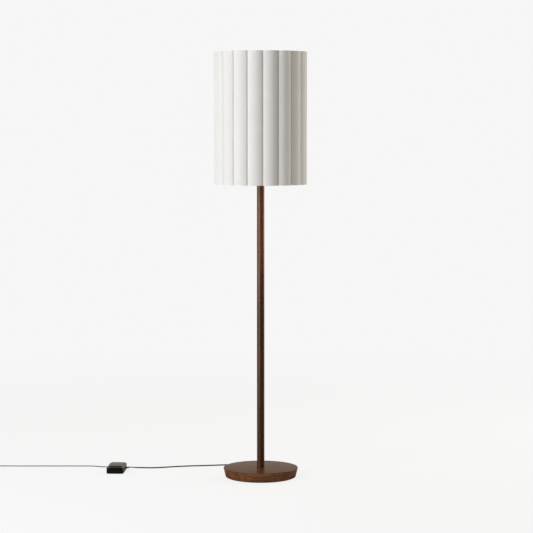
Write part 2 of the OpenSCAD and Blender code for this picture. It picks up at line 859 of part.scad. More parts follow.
module cord_gland() {
    grooves = 4;
    groove_w = 1;
    groove_depth = 0.35;
    step = (gland_tail - 4) / grooves;
    tail_z = gland_in + flange_t;
    function tail_r(t) = gland_r + (gland_tip_r - gland_r) * t / gland_tail;
    color(black) translate([0, gland_seat - gland_in, exit_z]) along_y() difference() {
        rotate_extrude() polygon(concat(
            [[0, 0], [gland_r - 0.5, 0], [gland_r, 0.5], [gland_r, gland_in], [flange_r, gland_in],
             [flange_r, tail_z], [tail_r(0), tail_z]],
            [for (i = [1:grooves], k = [0:3]) let(t = step * i - groove_w * [2, 2, 1, 1][k])
                [tail_r(t) - groove_depth * [0, 1, 1, 0][k], tail_z + t]],
            [[gland_tip_r, tail_z + gland_tail], [0, tail_z + gland_tail]]
        ));
        translate([0, 0, -cut]) linear_extrude(tail_z + gland_tail + 2 * cut) cord_section(push_room);
    }
}

// The foot switch, drawn about its own middle and then set on the floor

switch_at = [-527.5, 107.5];
switch_turn = -3.5;
split_z = lead_z;
lead_c = [switch_w / 2 - rear_round, switch_len / 2 - rear_round];
relief_from = rear_round - relief_in;
relief_w = 9;
relief_t = 5.4;
relief_tip_w = 6.8;
relief_tip_t = 4;
inner_top = switch_h - switch_wall;

module switch_place() {
    translate([switch_at[0], switch_at[1], 0]) rotate([0, 0, switch_turn]) children();
}

// Plan of the housing, drawn in by a distance all round
module switch_plan(inset = 0) {
    w = switch_w - 2 * inset;
    l = switch_len - 2 * inset;
    fr = front_round - inset;
    rr = rear_round - inset;
    translate([-w / 2, -l / 2 + fr]) square([w, l - fr - rr]);
    translate([-w / 2 + fr, -l / 2]) square([w - 2 * fr, l / 2]);
    translate([-w / 2 + rr, 0]) square([w - 2 * rr, l / 2]);
    for (side = [-1, 1]) {
        translate([side * (w / 2 - fr), -l / 2 + fr]) circle(r = fr);
        translate([side * (w / 2 - rr), l / 2 - rr]) circle(r = rr);
    }
}

// Plan of a plate with round corners
module round_plan(w, l, r) {
    square([w - 2 * r, l], center = true);
    square([w, l - 2 * r], center = true);
    for (x = [-1, 1], y = [-1, 1]) translate([x * (w / 2 - r), y * (l / 2 - r)]) circle(r = r);
}

// Places children at a lead's way out, pointing outwards, with the cord's width level
module at_lead(side) {
    translate([side * lead_c[0], lead_c[1], lead_z]) rotate([0, 0, -side * lead_fan]) along_y() children();
}

module relief_shape(grow = 0) {
    hull() {
        translate([0, 0, relief_from]) linear_extrude(relief_in)
            round_plan(relief_w + 2 * grow, relief_t + 2 * grow, relief_t / 2 + grow - touch, $fn = 24);
        translate([0, 0, relief_from + relief_len - cut]) linear_extrude(cut)
            round_plan(relief_tip_w + 2 * grow, relief_tip_t + 2 * grow, relief_tip_t / 2 + grow - touch,
                $fn = 24);
    }
}

// Centres of the switch's screws, and the screws' sizes
screw_y = switch_len / 2 - 7.5;
screw_at = [[-14, -screw_y], [14, -screw_y], [0, screw_y]];
screw_boss_r = 3.3;
screw_r = 1.25;
screw_head_r = 2.7;
screw_head_h = 1.2;
foot_at = [switch_w / 2 - 12, switch_len / 2 - 22];
foot_in = 0.5;
floor_z = foot_h + switch_wall * 0.7;

module switch_base() {
    color(black) switch_place() difference() {
        translate([0, 0, foot_h]) linear_extrude(split_z - foot_h) switch_plan();
        difference() {
            translate([0, 0, floor_z]) linear_extrude(split_z) switch_plan(switch_wall);
            for (p = screw_at) translate([p[0], p[1], 0]) cylinder(r = screw_boss_r, h = split_z);
        }
        for (p = screw_at) translate([p[0], p[1], 0]) {
            cylinder(r = screw_r + 0.35, h = split_z + cut);
            cylinder(r = screw_head_r + 0.2, h = foot_h + screw_head_h);
        }
        for (x = [-1, 1], y = [-1, 1]) translate([x * foot_at[0], y * foot_at[1], 0])
            cylinder(r = foot_r + push_room, h = foot_h + foot_in);
        for (side = [-1, 1]) at_lead(side) relief_shape(push_room);
    }
}

module switch_feet() {
    color(black) switch_place() for (x = [-1, 1], y = [-1, 1])
        translate([x * foot_at[0], y * foot_at[1], 0]) cylinder(r = foot_r, h = foot_h + foot_in);
}

module switch_cover() {
    window_w = pedal_w + 2 * pedal_room;
    window_len = pedal_len + 2 * pedal_room;
    color(black) switch_place() difference() {
        hull() {
            translate([0, 0, split_z]) linear_extrude(switch_h - switch_edge - split_z)
                switch_plan($fn = 32);
            translate([0, 0, switch_h - switch_edge]) linear_extrude(switch_edge * 0.71)
                switch_plan(switch_edge * 0.29, $fn = 32);
            translate([0, 0, switch_h - touch]) linear_extrude(touch) switch_plan(switch_edge, $fn = 32);
        }
        difference() {
            translate([0, 0, split_z - cut]) linear_extrude(inner_top - split_z + cut)
                switch_plan(switch_wall);
            for (p = screw_at) translate([p[0], p[1], 0]) cylinder(r = screw_boss_r, h = inner_top);
        }
        for (p = screw_at) translate([p[0], p[1], 0]) cylinder(r = screw_r + touch, h = inner_top - 6);
        translate([0, 0, inner_top - cut]) linear_extrude(switch_h)
            round_plan(window_w, window_len, pedal_r + pedal_room);
        for (side = [-1, 1]) at_lead(side) relief_shape(push_room);
    }
}

pedal_r = 7;
rim_t = 2;
post_r = 4.6;
pedal_under = inner_top + 0.4;
module switch_pedal() {
    face = switch_h + pedal_proud;
    crown = 1.6;
    color(black) switch_place() union() {
        difference() {
            union() {
                translate([0, 0, inner_top - rim_t]) linear_extrude(rim_t)
                    round_plan(pedal_w + 2 * pedal_rim, pedal_len + 2 * pedal_rim, pedal_r + pedal_rim);
                hull() {
                    translate([0, 0, inner_top - rim_t]) linear_extrude(face - crown - inner_top + rim_t)
                        round_plan(pedal_w, pedal_len, pedal_r, $fn = 32);
                    translate([0, 0, face - crown * 0.3]) linear_extrude(touch)
                        round_plan(pedal_w - 2 * crown, pedal_len - 2 * crown, pedal_r - crown, $fn = 32);
                    translate([0, 0, face - touch]) linear_extrude(touch)
                        round_plan(pedal_w - 6 * crown, pedal_len - 6 * crown, pedal_r / 3, $fn = 32);
                }
            }
            translate([0, 0, inner_top - rim_t - cut]) linear_extrude(pedal_under - inner_top + rim_t + cut)
                round_plan(pedal_w - 2 * switch_wall, pedal_len - 2 * switch_wall, pedal_r - switch_wall);
        }
        translate([0, 0, post_z]) cylinder(r = post_r, h = pedal_under - post_z);
    }
}

module_top = 13.5;
module_w = 26;
module_len = 40;
post_z = module_top - 1;
module switch_module() {
    color(module_grey) switch_place() difference() {
        translate([-module_w / 2, -module_len / 2, floor_z])
            cube([module_w, module_len, module_top - floor_z]);
        translate([0, 0, post_z - pedal_travel - cut]) cylinder(r = post_r + 0.6, h = module_top);
    }
}

// Return spring round the pedal's post
spring_r = post_r + 2;
spring_wire = 0.5;
spring_curls = 5;
module switch_spring() {
    rings = 8 * spring_curls;
    from = module_top + spring_wire + touch;
    to = pedal_under - spring_wire - touch;
    path = [for (i = [0:rings]) let(a = full_turn * spring_curls * i / rings)
        [spring_r * cos(a), spring_r * sin(a), from + (to - from) * i / rings]];
    color(steel) switch_place() sweep(path, [for (k = [0:5]) spring_wire * [cos(60 * k), sin(60 * k)]]);
}

module switch_screws() {
    color(steel) switch_place() for (p = screw_at) translate([p[0], p[1], foot_h]) {
        cylinder(r = screw_head_r, h = screw_head_h - touch);
        cylinder(r = screw_r, h = 12);
    }
}

module switch_reliefs() {
    color(black) switch_place() for (side = [-1, 1]) at_lead(side) relief_shape();
}

// The leads inside the housing, from its works to a knee and out into the strain reliefs
module switch_leads() {
    inner_x = 8;
    knee_in = 0.3;
    run = [lead_c[0] - inner_x, lead_c[1] - module_len / 2];
    color(black) switch_place() for (side = [-1, 1]) intersection() {
        union() {
            at_lead(side) linear_extrude(relief_from) cord_section();
            translate([side * lead_c[0], lead_c[1], lead_z - cord_t / 2 + knee_in])
                cylinder(r = cord_w / 2 - knee_in, h = cord_t - 2 * knee_in);
            translate([side * lead_c[0], lead_c[1], lead_z])
                rotate([0, 0, -side * atan2(run[0], run[1])]) along_y()
                    translate([0, 0, -norm(run) - cord_w])
                        linear_extrude(norm(run) + cord_w) cord_section();
        }
        translate([-switch_w / 2, module_len / 2, 0]) cube([switch_w, switch_len, switch_h]);
    }
}

// The cord's free stretches

lying_z = cord_t / 2;
coil_lift = tie_t + 0.1;
coil_pitch = cord_w + coil_gap;
layer_pitch = cord_t + coil_gap;
half_coil = coil_turns + 0.125;
coil_out_r = coil_in_r + coil_pitch * half_coil;
wall_y = 212;
coil_at = [-1022, wall_y - coil_out_r];
coil_z = lying_z + coil_lift;
plug_z = plug_t / 2;
plug_back_y = 116;

// Direction and tip of a lead's strain relief, on the floor's plan
function turned(p, a) = [p[0] * cos(a) - p[1] * sin(a), p[0] * sin(a) + p[1] * cos(a)];
function relief_tip(side) = let(
    reach = relief_from + relief_len,
    p = [side * (lead_c[0] + reach * sin(lead_fan)), lead_c[1] + reach * cos(lead_fan)],
    q = switch_at + turned(p, switch_turn)
) [q[0], q[1], lead_z];

// From the base's strain relief to the switch
lamp_route = concat([[0, gland_tip, exit_z]], [
    [0, gland_tip + 8.5, 9.2], [0, gland_tip + 26.5, 7.4], [-1, 198, 4.6], [-9, 215, 2.4],
    [-25, 228, lying_z], [-48, 235, lying_z], [-76, 237.5, lying_z], [-106.5, 235, lying_z],
    [-141, 229.5, lying_z], [-178, 221.8, lying_z], [-215.5, 215, lying_z], [-252.5, 209.5, lying_z],
    [-289, 202, lying_z], [-325, 191.5, lying_z], [-350, 183, lying_z], [-373, 175.5, lying_z],
    [-396, 171, lying_z], [-419, 170.4, lying_z], [-440, 173.4, lying_z], [-455, 175.6, 1.6],
    [-466, 175.3, 2.6], [-475.5, 172.8, 3.8], [-481.8, 169.7, 4.6]
], [relief_tip(1)]);

// From the switch to the coil
wall_route = concat([relief_tip(-1)], [
    [-565.2, 175.1, 4.6], [-571, 180.4, 3.8], [-578, 186.4, 2.6], [-586.5, 192.8, 1.6],
    [-598, 199.8, lying_z], [-612, 205.8, lying_z], [-630, 210, lying_z], [-655, wall_y, lying_z],
    [-691, wall_y, lying_z], [-736.5, wall_y, lying_z], [-787, wall_y, lying_z],
    [-837, wall_y, lying_z], [-887.5, wall_y, lying_z], [-933, wall_y, lying_z],
    [-975, wall_y, lying_z + 0.3], [-1001, wall_y, coil_z]
], [[coil_at[0] + cord_w, wall_y, coil_z]]);

tail_x = coil_at[0] - coil_out_r;
tail_from = [tail_x, coil_at[1] - cord_w, coil_z + layer_pitch];
tail_to = [tail_x, plug_back_y, plug_z];

function unit(v) = v / norm(v);
// Point at t between q[1] and q[2] on the smooth curve through four points
function between(q, t) = 0.5 * (
    2 * q[1] + (q[2] - q[0]) * t + (2 * q[0] - 5 * q[1] + 4 * q[2] - q[3]) * t * t
    + (3 * q[1] - q[0] - 3 * q[2] + q[3]) * t * t * t);
// A route with its long steps halved along a smooth curve
function eased(route, longest = 20) = let(last = len(route) - 1) concat(
    [for (i = [0:last - 1]) let(
        q = [route[max(i - 1, 0)], route[i], route[i + 1], route[min(i + 2, last)]],
        steps = max(1, ceil(norm(q[2] - q[1]) / longest))
    ) for (k = [0:steps - 1]) let(p = between(q, k / steps)) [p[0], p[1], max(p[2], lying_z)]],
    [route[last]]
);
// Unit tangent of a path at its point i
function heading(path, i) = unit(path[min(i + 1, len(path) - 1)] - path[max(i - 1, 0)]);
// Rings of a section carried along a path with its first axis level
function rings_along(path, section) = [for (i = [0:len(path) - 1]) let(
    ahead = heading(path, i),
    level = unit(cross(ahead, [0, 0, 1])),
    up = cross(level, ahead)
) [for (s = section) path[i] + s[0] * level + s[1] * up]];

// One closed polyhedron over a row of rings with as many corners each
module skin(rings) {
    n = len(rings[0]);
    last = len(rings) - 1;
    polyhedron(
        points = [for (ring = rings) each ring],
        faces = concat(
            [[for (k = [0:n - 1]) k]],
            [for (i = [0:last - 1], k = [0:n - 1]) let(a = i * n, b = a + n, m = (k + 1) % n)
                each [[a + k, b + k, b + m], [a + k, b + m, a + m]]],
            [[for (k = [n - 1:-1:0]) last * n + k]]
        )
    );
}

// A section swept along a path
module sweep(path, section) {
    skin(rings_along(path, section));
}

// The flat cord's section with eight corners, and with six for the coil
cord_corners = [
    [1, 0.36], [0.66, 1], [-0.66, 1], [-1, 0.36],
    [-1, -0.36], [-0.66, -1], [0.66, -1], [1, -0.36]
];
cord_eight = [for (c = cord_corners) [c[0] * cord_w / 2, c[1] * cord_t / 2]];
coil_corners = [[1, 0], [0.52, 1], [-0.52, 1], [-1, 0], [-0.52, -1], [0.52, -1]];
cord_six = [for (c = coil_corners) [c[0] * cord_w / 2, c[1] * cord_t / 2]];

module cord_lamp() {
    color(black) sweep(eased(lamp_route), cord_eight);
}

module cord_wall() {
    color(black) sweep(eased(wall_route), cord_eight);
}

module cord_tail() {
    color(black) sweep([for (i = [0:4]) tail_from + (tail_to - tail_from) * i / 4], cord_eight);
}

// The coil winds inwards on the floor, climbs a layer in the half turn where it reverses, and winds out
coil_rings = 24;
coil_path = concat(
    [[coil_at[0] + cord_w, wall_y, coil_z], [coil_at[0] + cord_w / 2, wall_y, coil_z]],
    [for (i = [0:2 * half_coil * coil_rings]) let(
        u = i / coil_rings,
        from_middle = u - half_coil,
        a = right_angle + full_turn * u,
        r = coil_in_r + coil_pitch * abs(from_middle),
        climb = min(1, max(0, from_middle * 2 + 0.5))
    ) [coil_at[0] + r * cos(a), coil_at[1] + r * sin(a), coil_z + layer_pitch * climb]],
    [tail_from + [0, cord_w / 2, 0], tail_from]
);

// Least distance between corner points of turns that lie beside or on each other
function coil_least_gap() = let(
    rings = rings_along(coil_path, cord_six),
    last = len(rings) - 3
) min([for (i = [2:last], j = [i + coil_rings - 1:last], a = rings[i], b = rings[j]) norm(a - b)]);

module cord_coil() {
    echo(coil_least_gap = coil_least_gap());
    color(black) sweep(coil_path, cord_six);
}

// Band round the coil, opposite the side where the cord comes in
module coil_tie() {
    room = 0.3;
    inner_from = coil_in_r + coil_pitch * 0.375 - cord_w / 2 - tie_w * tie_w / 8 / coil_in_r - room;
    inner_to = coil_out_r - coil_pitch / 2 + cord_w / 2 + room;
    top = coil_z + layer_pitch + cord_t / 2 + room;
    color(felt) translate([coil_at[0], coil_at[1], 0]) rotate([0, 0, -right_angle])
        translate([0, -tie_w / 2, 0]) difference() {
            translate([inner_from - tie_t, 0, 0])
                cube([inner_to - inner_from + 2 * tie_t, tie_w, top + tie_t]);
            translate([inner_from, -cut, tie_t]) cube([inner_to - inner_from, tie_w + 2 * cut, top - tie_t]);
        }
}

// The plug, drawn with its cord end at the origin and its blades along +Z, width along X

module plug_place() {
    translate([tail_x, plug_back_y, plug_z]) rotate([right_angle, 0, 0]) children();
}

module plug_body() {
    neck_ribs = 4;
    neck_w = 7.6;
    neck_t = 5;
    shoulder = 6;
    color(black) plug_place() union() {
        intersection() {
            translate([0, plug_t / 2, neck_len]) rotate([right_angle, 0, 0]) linear_extrude(plug_t) polygon([
                [-neck_w, 0], [neck_w, 0], [plug_w / 2, shoulder], [plug_w / 2 - 1.2, plug_len / 2],
                [plug_w / 2 - 0.4, plug_len - 2], [plug_w / 2 - 1.6, plug_len],
                [1.6 - plug_w / 2, plug_len], [0.4 - plug_w / 2, plug_len - 2],
                [1.2 - plug_w / 2, plug_len / 2], [-plug_w / 2, shoulder]
            ]);
            translate([-plug_w, 0, neck_len]) rotate([right_angle, 0, right_angle])
                linear_extrude(2 * plug_w) polygon([
                [-neck_t, 0], [neck_t, 0], [plug_t / 2 - 1.2, shoulder], [plug_t / 2 - 1.6, plug_len / 2],
                [plug_t / 2, plug_len - 5], [plug_t / 2, plug_len - 1], [plug_t / 2 - 1, plug_len],
                [1 - plug_t / 2, plug_len], [-plug_t / 2, plug_len - 1], [-plug_t / 2, plug_len - 5],
                [1.6 - plug_t / 2, plug_len / 2], [1.2 - plug_t / 2, shoulder]
            ]);
        }
        hull() {
            linear_extrude(cut) round_plan(relief_tip_w, relief_tip_t, relief_tip_t / 2 - touch, $fn = 24);
            translate([0, 0, neck_len - cut]) linear_extrude(cut)
                round_plan(neck_w + 3, neck_t + 2, neck_t / 2, $fn = 24);
        }
        for (i = [1:neck_ribs]) let(s = i / (neck_ribs + 1))
            translate([0, 0, neck_len * s - 1]) linear_extrude(1.6)
                round_plan(relief_tip_w + (neck_w + 3.8 - relief_tip_w) * s,
                    relief_tip_t + (neck_t + 2.6 - relief_tip_t) * s, relief_tip_t / 2, $fn = 24);
    }
}

module plug_blades() {
    hole_r = 1.6;
    color(brass) plug_place() for (side = [-1, 1]) {
        w = side < 0 ? blade_w : blade_wide;
        translate([side * blade_pitch / 2 - blade_t / 2, -w / 2, neck_len + plug_len]) difference() {
            union() {
                cube([blade_t, w, blade_len - w / 4]);
                translate([0, w / 4, 0]) cube([blade_t, w / 2, blade_len]);
                for (y = [w / 4, w * 3 / 4]) translate([0, y, blade_len - w / 4])
                    rotate([0, right_angle, 0]) cylinder(r = w / 4, h = blade_t);
            }
            translate([-cut, w / 2, blade_len - 5.5]) rotate([0, right_angle, 0])
                cylinder(r = hole_r, h = blade_t + 2 * cut);
        }
    }
}

base_disc();
base_weight();
base_pad();
base_washer();
base_nut();
pipe_lower();
pipe_coupling();
pipe_upper();
pole_lower();
pole_upper();
pole_cap();
harp_saddle();
harp_wire();
harp_stud();
harp_sleeve_left();
harp_sleeve_right();
socket_cap();
socket_shell();
socket_liner();
socket_insulator();
screw_shell();
socket_contact();
terminal_screws();
socket_leads();
riser_cord();
bulb_contact();
bulb_insulator();
bulb_cap();
bulb_collar();
bulb_dome();
shade_panels();
shade_top_ring();
shade_bottom_ring();
shade_ribs();
shade_spider();
shade_top_tape();
shade_bottom_tape();
finial_washer();
finial();
cord_gland();
cord_lamp();
switch_base();
switch_cover();
switch_pedal();
switch_module();
switch_spring();
switch_feet();
switch_screws();
switch_reliefs();
switch_leads();
cord_wall();
cord_coil();
coil_tie();
cord_tail();
plug_body();
plug_blades();
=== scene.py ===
"""Wooden floor lamp with a scalloped shade: the looks of each piece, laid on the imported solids."""
import logging
import math
from dataclasses import dataclass
from enum import Enum
from typing import Any, Iterable, Optional, Sequence, Union

import bmesh
import bpy
from mathutils import Matrix, Vector


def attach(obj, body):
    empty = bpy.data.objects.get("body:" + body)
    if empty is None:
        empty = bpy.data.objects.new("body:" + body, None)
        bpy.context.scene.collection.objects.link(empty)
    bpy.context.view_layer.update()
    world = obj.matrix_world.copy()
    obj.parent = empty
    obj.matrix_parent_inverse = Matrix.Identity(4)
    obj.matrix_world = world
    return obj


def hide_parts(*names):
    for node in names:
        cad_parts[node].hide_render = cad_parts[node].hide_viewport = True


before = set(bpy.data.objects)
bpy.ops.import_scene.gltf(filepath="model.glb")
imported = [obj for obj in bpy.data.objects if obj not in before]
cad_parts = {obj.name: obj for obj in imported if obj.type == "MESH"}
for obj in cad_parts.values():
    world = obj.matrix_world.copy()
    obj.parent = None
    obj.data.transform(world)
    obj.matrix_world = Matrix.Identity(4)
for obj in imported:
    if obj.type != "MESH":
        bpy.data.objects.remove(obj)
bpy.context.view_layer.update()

log = logging.getLogger("floor_lamp")

Colour = tuple[float, float, float]
Point = tuple[float, float, float]
Corner = tuple[float, ...]  # x, y and, where the corner is rounded, its radius
Edges = list[bmesh.types.BMEdge]
Length = tuple[bpy.types.Object, list[Vector]]  # a length of cord and its middle line

MM = 0.001
FULL = 2 * math.pi
UP = Vector((0, 0, 1))
STAND = Matrix.Rotation(math.pi / 2, 4, "X")  # stands a flat outline upright
CLOTH_MAP = "weave"
WHITE = (1.0, 1.0, 1.0)


class Body(Enum):
    """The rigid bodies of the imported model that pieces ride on."""

    LAMP = "lamp"
    SHADE = "shade"
    FINIAL_WASHER = "finial_washer"
    FINIAL = "finial"
    SLEEVE_LEFT = "harp_sleeve_left"
    SLEEVE_RIGHT = "harp_sleeve_right"
    BULB_SEAT = "bulb_seat"
    BULB = "bulb"
    PEDAL = "switch_pedal"


class Grain(Enum):
    """The axis that the wood's fibres follow, as the stretch of a pattern along X, Y and Z."""

    UPRIGHT = (1.0, 1.0, 0.035)
    ACROSS = (0.035, 1.0, 1.0)


class Val:
    """A socket's value, so that sums written in Python add their Math nodes."""

    def __init__(self, nodes: "Nodes", socket: bpy.types.NodeSocket) -> None:
        """Keeps the socket and the tree that holds it."""
        self.nodes = nodes
        self.socket = socket

    def __add__(self, other: "Term") -> "Val":
        """Adds a value or a number."""
        return self.nodes.math("ADD", self, other)

    __radd__ = __add__

    def __mul__(self, other: "Term") -> "Val":
        """Multiplies by a value or a number."""
        return self.nodes.math("MULTIPLY", self, other)

    __rmul__ = __mul__

    def __sub__(self, other: "Term") -> "Val":
        """Takes a value or a number away."""
        return self.nodes.math("SUBTRACT", self, other)

    def __rsub__(self, other: "Term") -> "Val":
        """Takes this value away from a number."""
        return self.nodes.math("SUBTRACT", other, self)

    def __truediv__(self, other: "Term") -> "Val":
        """Divides by a value or a number."""
        return self.nodes.math("DIVIDE", self, other)

    def __rtruediv__(self, other: "Term") -> "Val":
        """Divides a number by this value."""
        return self.nodes.math("DIVIDE", other, self)

    def __abs__(self) -> "Val":
        """The value without its sign."""
        return self.nodes.math("ABSOLUTE", self)

    def sine(self) -> "Val":
        """The sine of the value in radians."""
        return self.nodes.math("SINE", self)

    def cycle(self, length: float) -> "Val":
        """How far the value lies from the nearest multiple of a length, with its sign."""
        return (self.nodes.math("FRACT", self / length + 0.5) - 0.5) * length

    def step(self, low: float, high: float) -> "Val":
        """The value's smooth rise from 0 to 1.

        Args:
            low: The value at which it starts to rise.
            high: The value at which it reaches 1.

        Returns:
            The risen share.
        """
        made = self.nodes.node("ShaderNodeMapRange", {"interpolation_type": "SMOOTHSTEP"},
                               {"Value": self, "From Min": low, "From Max": high})
        return Val(self.nodes, made.outputs["Result"])


Term = Union[Val, bpy.types.NodeSocket, float]


class Nodes:
    """A node tree, with one method that adds any node."""

    def __init__(self, tree: bpy.types.NodeTree) -> None:
        """Takes a tree over and empties it."""
        self.tree = tree
        tree.nodes.clear()

    def feed(self, socket: bpy.types.NodeSocket, value: Any) -> None:
        """Links or sets a socket.

        Args:
            socket: The socket that receives.
            value: A value, a socket, a node whose first output is meant, a number or a colour.
        """
        if isinstance(value, Val):
            value = value.socket
        elif isinstance(value, bpy.types.Node):
            value = value.outputs[0]
        elif isinstance(value, tuple) and len(value) == 3 and socket.type == "RGBA":
            value = (*value, 1.0)
        if isinstance(value, bpy.types.NodeSocket):
            self.tree.links.new(value, socket)
        else:
            socket.default_value = value

    def node(self, kind: str, settings: Optional[dict[str, Any]] = None,
             values: Optional[dict[Union[str, int], Any]] = None) -> bpy.types.Node:
        """Adds a node.

        Args:
            kind: The node's type.
            settings: Its properties, and "stops" for the colours of a ramp. They are set first.
            values: What its sockets are fed, by their names or numbers.

        Returns:
            The new node.
        """
        made = self.tree.nodes.new(kind)
        for key, value in (settings or {}).items():
            if key == "stops":
                ramp = made.color_ramp
                while len(ramp.elements) < len(value):
                    ramp.elements.new(0.5)
                for element, (at, colour) in zip(ramp.elements, value):
                    element.position = at
                    element.color = (*colour, 1.0)
            else:
                setattr(made, key, value)
        for key, value in (values or {}).items():
            self.feed(made.inputs[key], value)
        return made

    def math(self, operation: str, *terms: Term) -> Val:
        """Adds a Math node over one to three terms."""
        made = self.node("ShaderNodeMath", {"operation": operation}, dict(enumerate(terms)))
        return Val(self, made.outputs[0])

    def part(self, vector: bpy.types.NodeSocket, axis: str) -> Val:
        """The X, Y or Z of a vector."""
        return Val(self, self.node("ShaderNodeSeparateXYZ", {}, {0: vector}).outputs[axis])

    def ramp(self, factor: Term, *stops: tuple[float, Colour]) -> bpy.types.NodeSocket:
        """A colour ramp over a value."""
        return self.node("ShaderNodeValToRGB", {"stops": stops}, {"Fac": factor}).outputs[0]

    def blend(self, factor: Term, first: Any, second: Any) -> bpy.types.NodeSocket:
        """Mixes two colours by a factor."""
        made = self.node("ShaderNodeMix", {"data_type": "RGBA"}, {0: factor, 6: first, 7: second})
        return made.outputs[2]

    def layer(self, factor: Term, first: Any, second: Any) -> bpy.types.Node:
        """Mixes two shaders by a factor."""
        return self.node("ShaderNodeMixShader", {}, {0: factor, 1: first, 2: second})

    def glow(self, strength: float) -> bpy.types.Node:
        """A white glow."""
        return self.node("ShaderNodeEmission", {}, {"Color": WHITE, "Strength": strength})


class Shader(Nodes):
    """A material's node tree round one Principled shader."""

    def __init__(self, name: str) -> None:
        """Starts a material with a Principled shader as its surface.

        Args:
            name: The material's name.
        """
        self.material = bpy.data.materials.new(name)
        self.material.use_nodes = True
        super().__init__(self.material.node_tree)
        self.surface = self.node("ShaderNodeBsdfPrincipled")
        self.out = self.node("ShaderNodeOutputMaterial", {}, {"Surface": self.surface})
        self.place = self.node("ShaderNodeTexCoord").outputs["Object"]

    def noise(self, scale: float, stretch: Sequence[float] = WHITE, detail: float = 3.0,
              shift: Point = (0.0, 0.0, 0.0), source: Optional[bpy.types.NodeSocket] = None,
              distortion: float = 0.0) -> Val:
        """Noise over the piece's own coordinates.

        Args:
            scale: Grains in a metre.
            stretch: Share of the scale along each axis.
            detail: Octaves of the noise.
            shift: Offset of the pattern in metres.
            source: Coordinates to use in place of the object's.
            distortion: How far the noise bends itself.

        Returns:
            The noise from 0 to 1.
        """
        mapped = self.node("ShaderNodeMapping", {}, {
            "Vector": source or self.place, "Location": shift,
            "Scale": [scale * s for s in stretch]})
        made = self.node("ShaderNodeTexNoise", {"noise_dimensions": "3D"}, {
            "Vector": mapped, "Scale": 1.0, "Detail": detail, "Distortion": distortion})
        return Val(self, made.outputs[0])

    def bump(self, height: Val, depth: float, strength: float = 1.0) -> None:
        """Lets a height press the surface.

        Args:
            height: The height from 0 to 1.
            depth: How deep it presses, in metres.
            strength: Share of the effect.
        """
        made = self.node("ShaderNodeBump", {}, {
            "Height": height, "Distance": depth, "Strength": strength})
        self.feed(self.surface.inputs["Normal"], made)

    def dress(self, **sockets: Any) -> None:
        """Feeds the Principled shader's sockets, whose names have underscores for spaces."""
        for key, value in sockets.items():
            self.feed(self.surface.inputs[key.replace("_", " ")], value)


def scaled(colour: Colour, by: float) -> Colour:
    """A colour made darker or lighter."""
    return tuple(c * by for c in colour)


@dataclass(frozen=True)
class Finish:
    """What one material of the lamp looks like.

    Attributes:
        name: The material's name.
        slot: The material slot's name; not used.
    """

    name: str
    slot: str

    def paint(self, shader: Shader) -> None:
        """Adds the finish's nodes to a fresh shader."""
        raise NotImplementedError

    def material(self) -> bpy.types.Material:
        """Finds or makes the finish's material.

        Returns:
            The material, made on first use.
        """
        found = bpy.data.materials.get(self.name)
        if found:
            return found
        shader = Shader(self.name)
        self.paint(shader)
        return shader.material


@dataclass(frozen=True)
class DarkBand:
    """Where a wood is coloured darker, heights in metres: painted shade on the base's top face,
    and a darkening of the upper pole towards its lower end.

    Attributes:
        none: Height at which the darkening has faded out.
        full: Height at which it is at its full share.
        wander: How far the streaks carry its edge up and down.
        share: How deep it gets, from 0 to 1.
    """

    none: float
    full: float
    wander: float = 0.0
    share: float = 1.0


@dataclass(frozen=True)
class Wood(Finish):
    """Stained open-grained wood under satin varnish, which reflects a little warm."""

    dark: Colour
    light: Colour
    grain: Grain
    roughness: float = 0.3
    coat: float = 0.2
    shine: float = 0.85
    shift: Point = (0.0, 0.0, 0.0)
    deep: Optional[DarkBand] = None
    warm: Colour = (1.0, 0.74, 0.55)

    def paint(self, shader: Shader) -> None:
        """Adds broad figure, fine streaks and open pores along the grain, and any darker band:
        painted shade on the base's top face, darker wood low on the upper pole.

        Args:
            shader: The fresh shader.
        """
        along = self.grain.value
        short = [a * 0.6 if a < 1 else a for a in along]
        figure = shader.noise(22, along, 3, self.shift, distortion=0.4)
        streaks = shader.noise(150, along, 5, self.shift)
        fine = shader.noise(520, along, 4, self.shift)
        pores = shader.noise(1500, short, 2, self.shift).step(0.62, 0.7)
        tone = (figure * 0.45 + streaks * 0.4 + fine * 0.25).step(0.4, 0.72)
        middle = tuple((d + l) / 2 * 0.92 for d, l in zip(self.dark, self.light))
        wood = shader.ramp(tone, (0.0, self.dark), (0.5, middle), (1.0, self.light))
        # Painted shade on the base's top face; on the upper pole, darker wood towards its lower end.
        if self.deep:
            height = shader.part(shader.place, "Z") + (streaks - 0.5) * self.deep.wander
            depth = height.step(self.deep.none, self.deep.full) * self.deep.share
            darkened = shader.ramp(tone, (0.0, scaled(self.dark, 0.62)),
                                  (1.0, scaled(self.dark, 1.5)))
            wood = shader.blend(depth, wood, darkened)
        shader.dress(
            Base_Color=shader.blend(pores * 0.65, wood, scaled(self.dark, 0.35)),
            Roughness=self.roughness + fine * 0.12 + pores * 0.2,
            Coat_Weight=self.coat,
            Coat_Roughness=0.25,
            Specular_IOR_Level=self.shine,
            Specular_Tint=self.warm,
        )
        shader.bump(1.0 - pores * 0.8 - streaks * 0.2, 0.00012, 0.6)


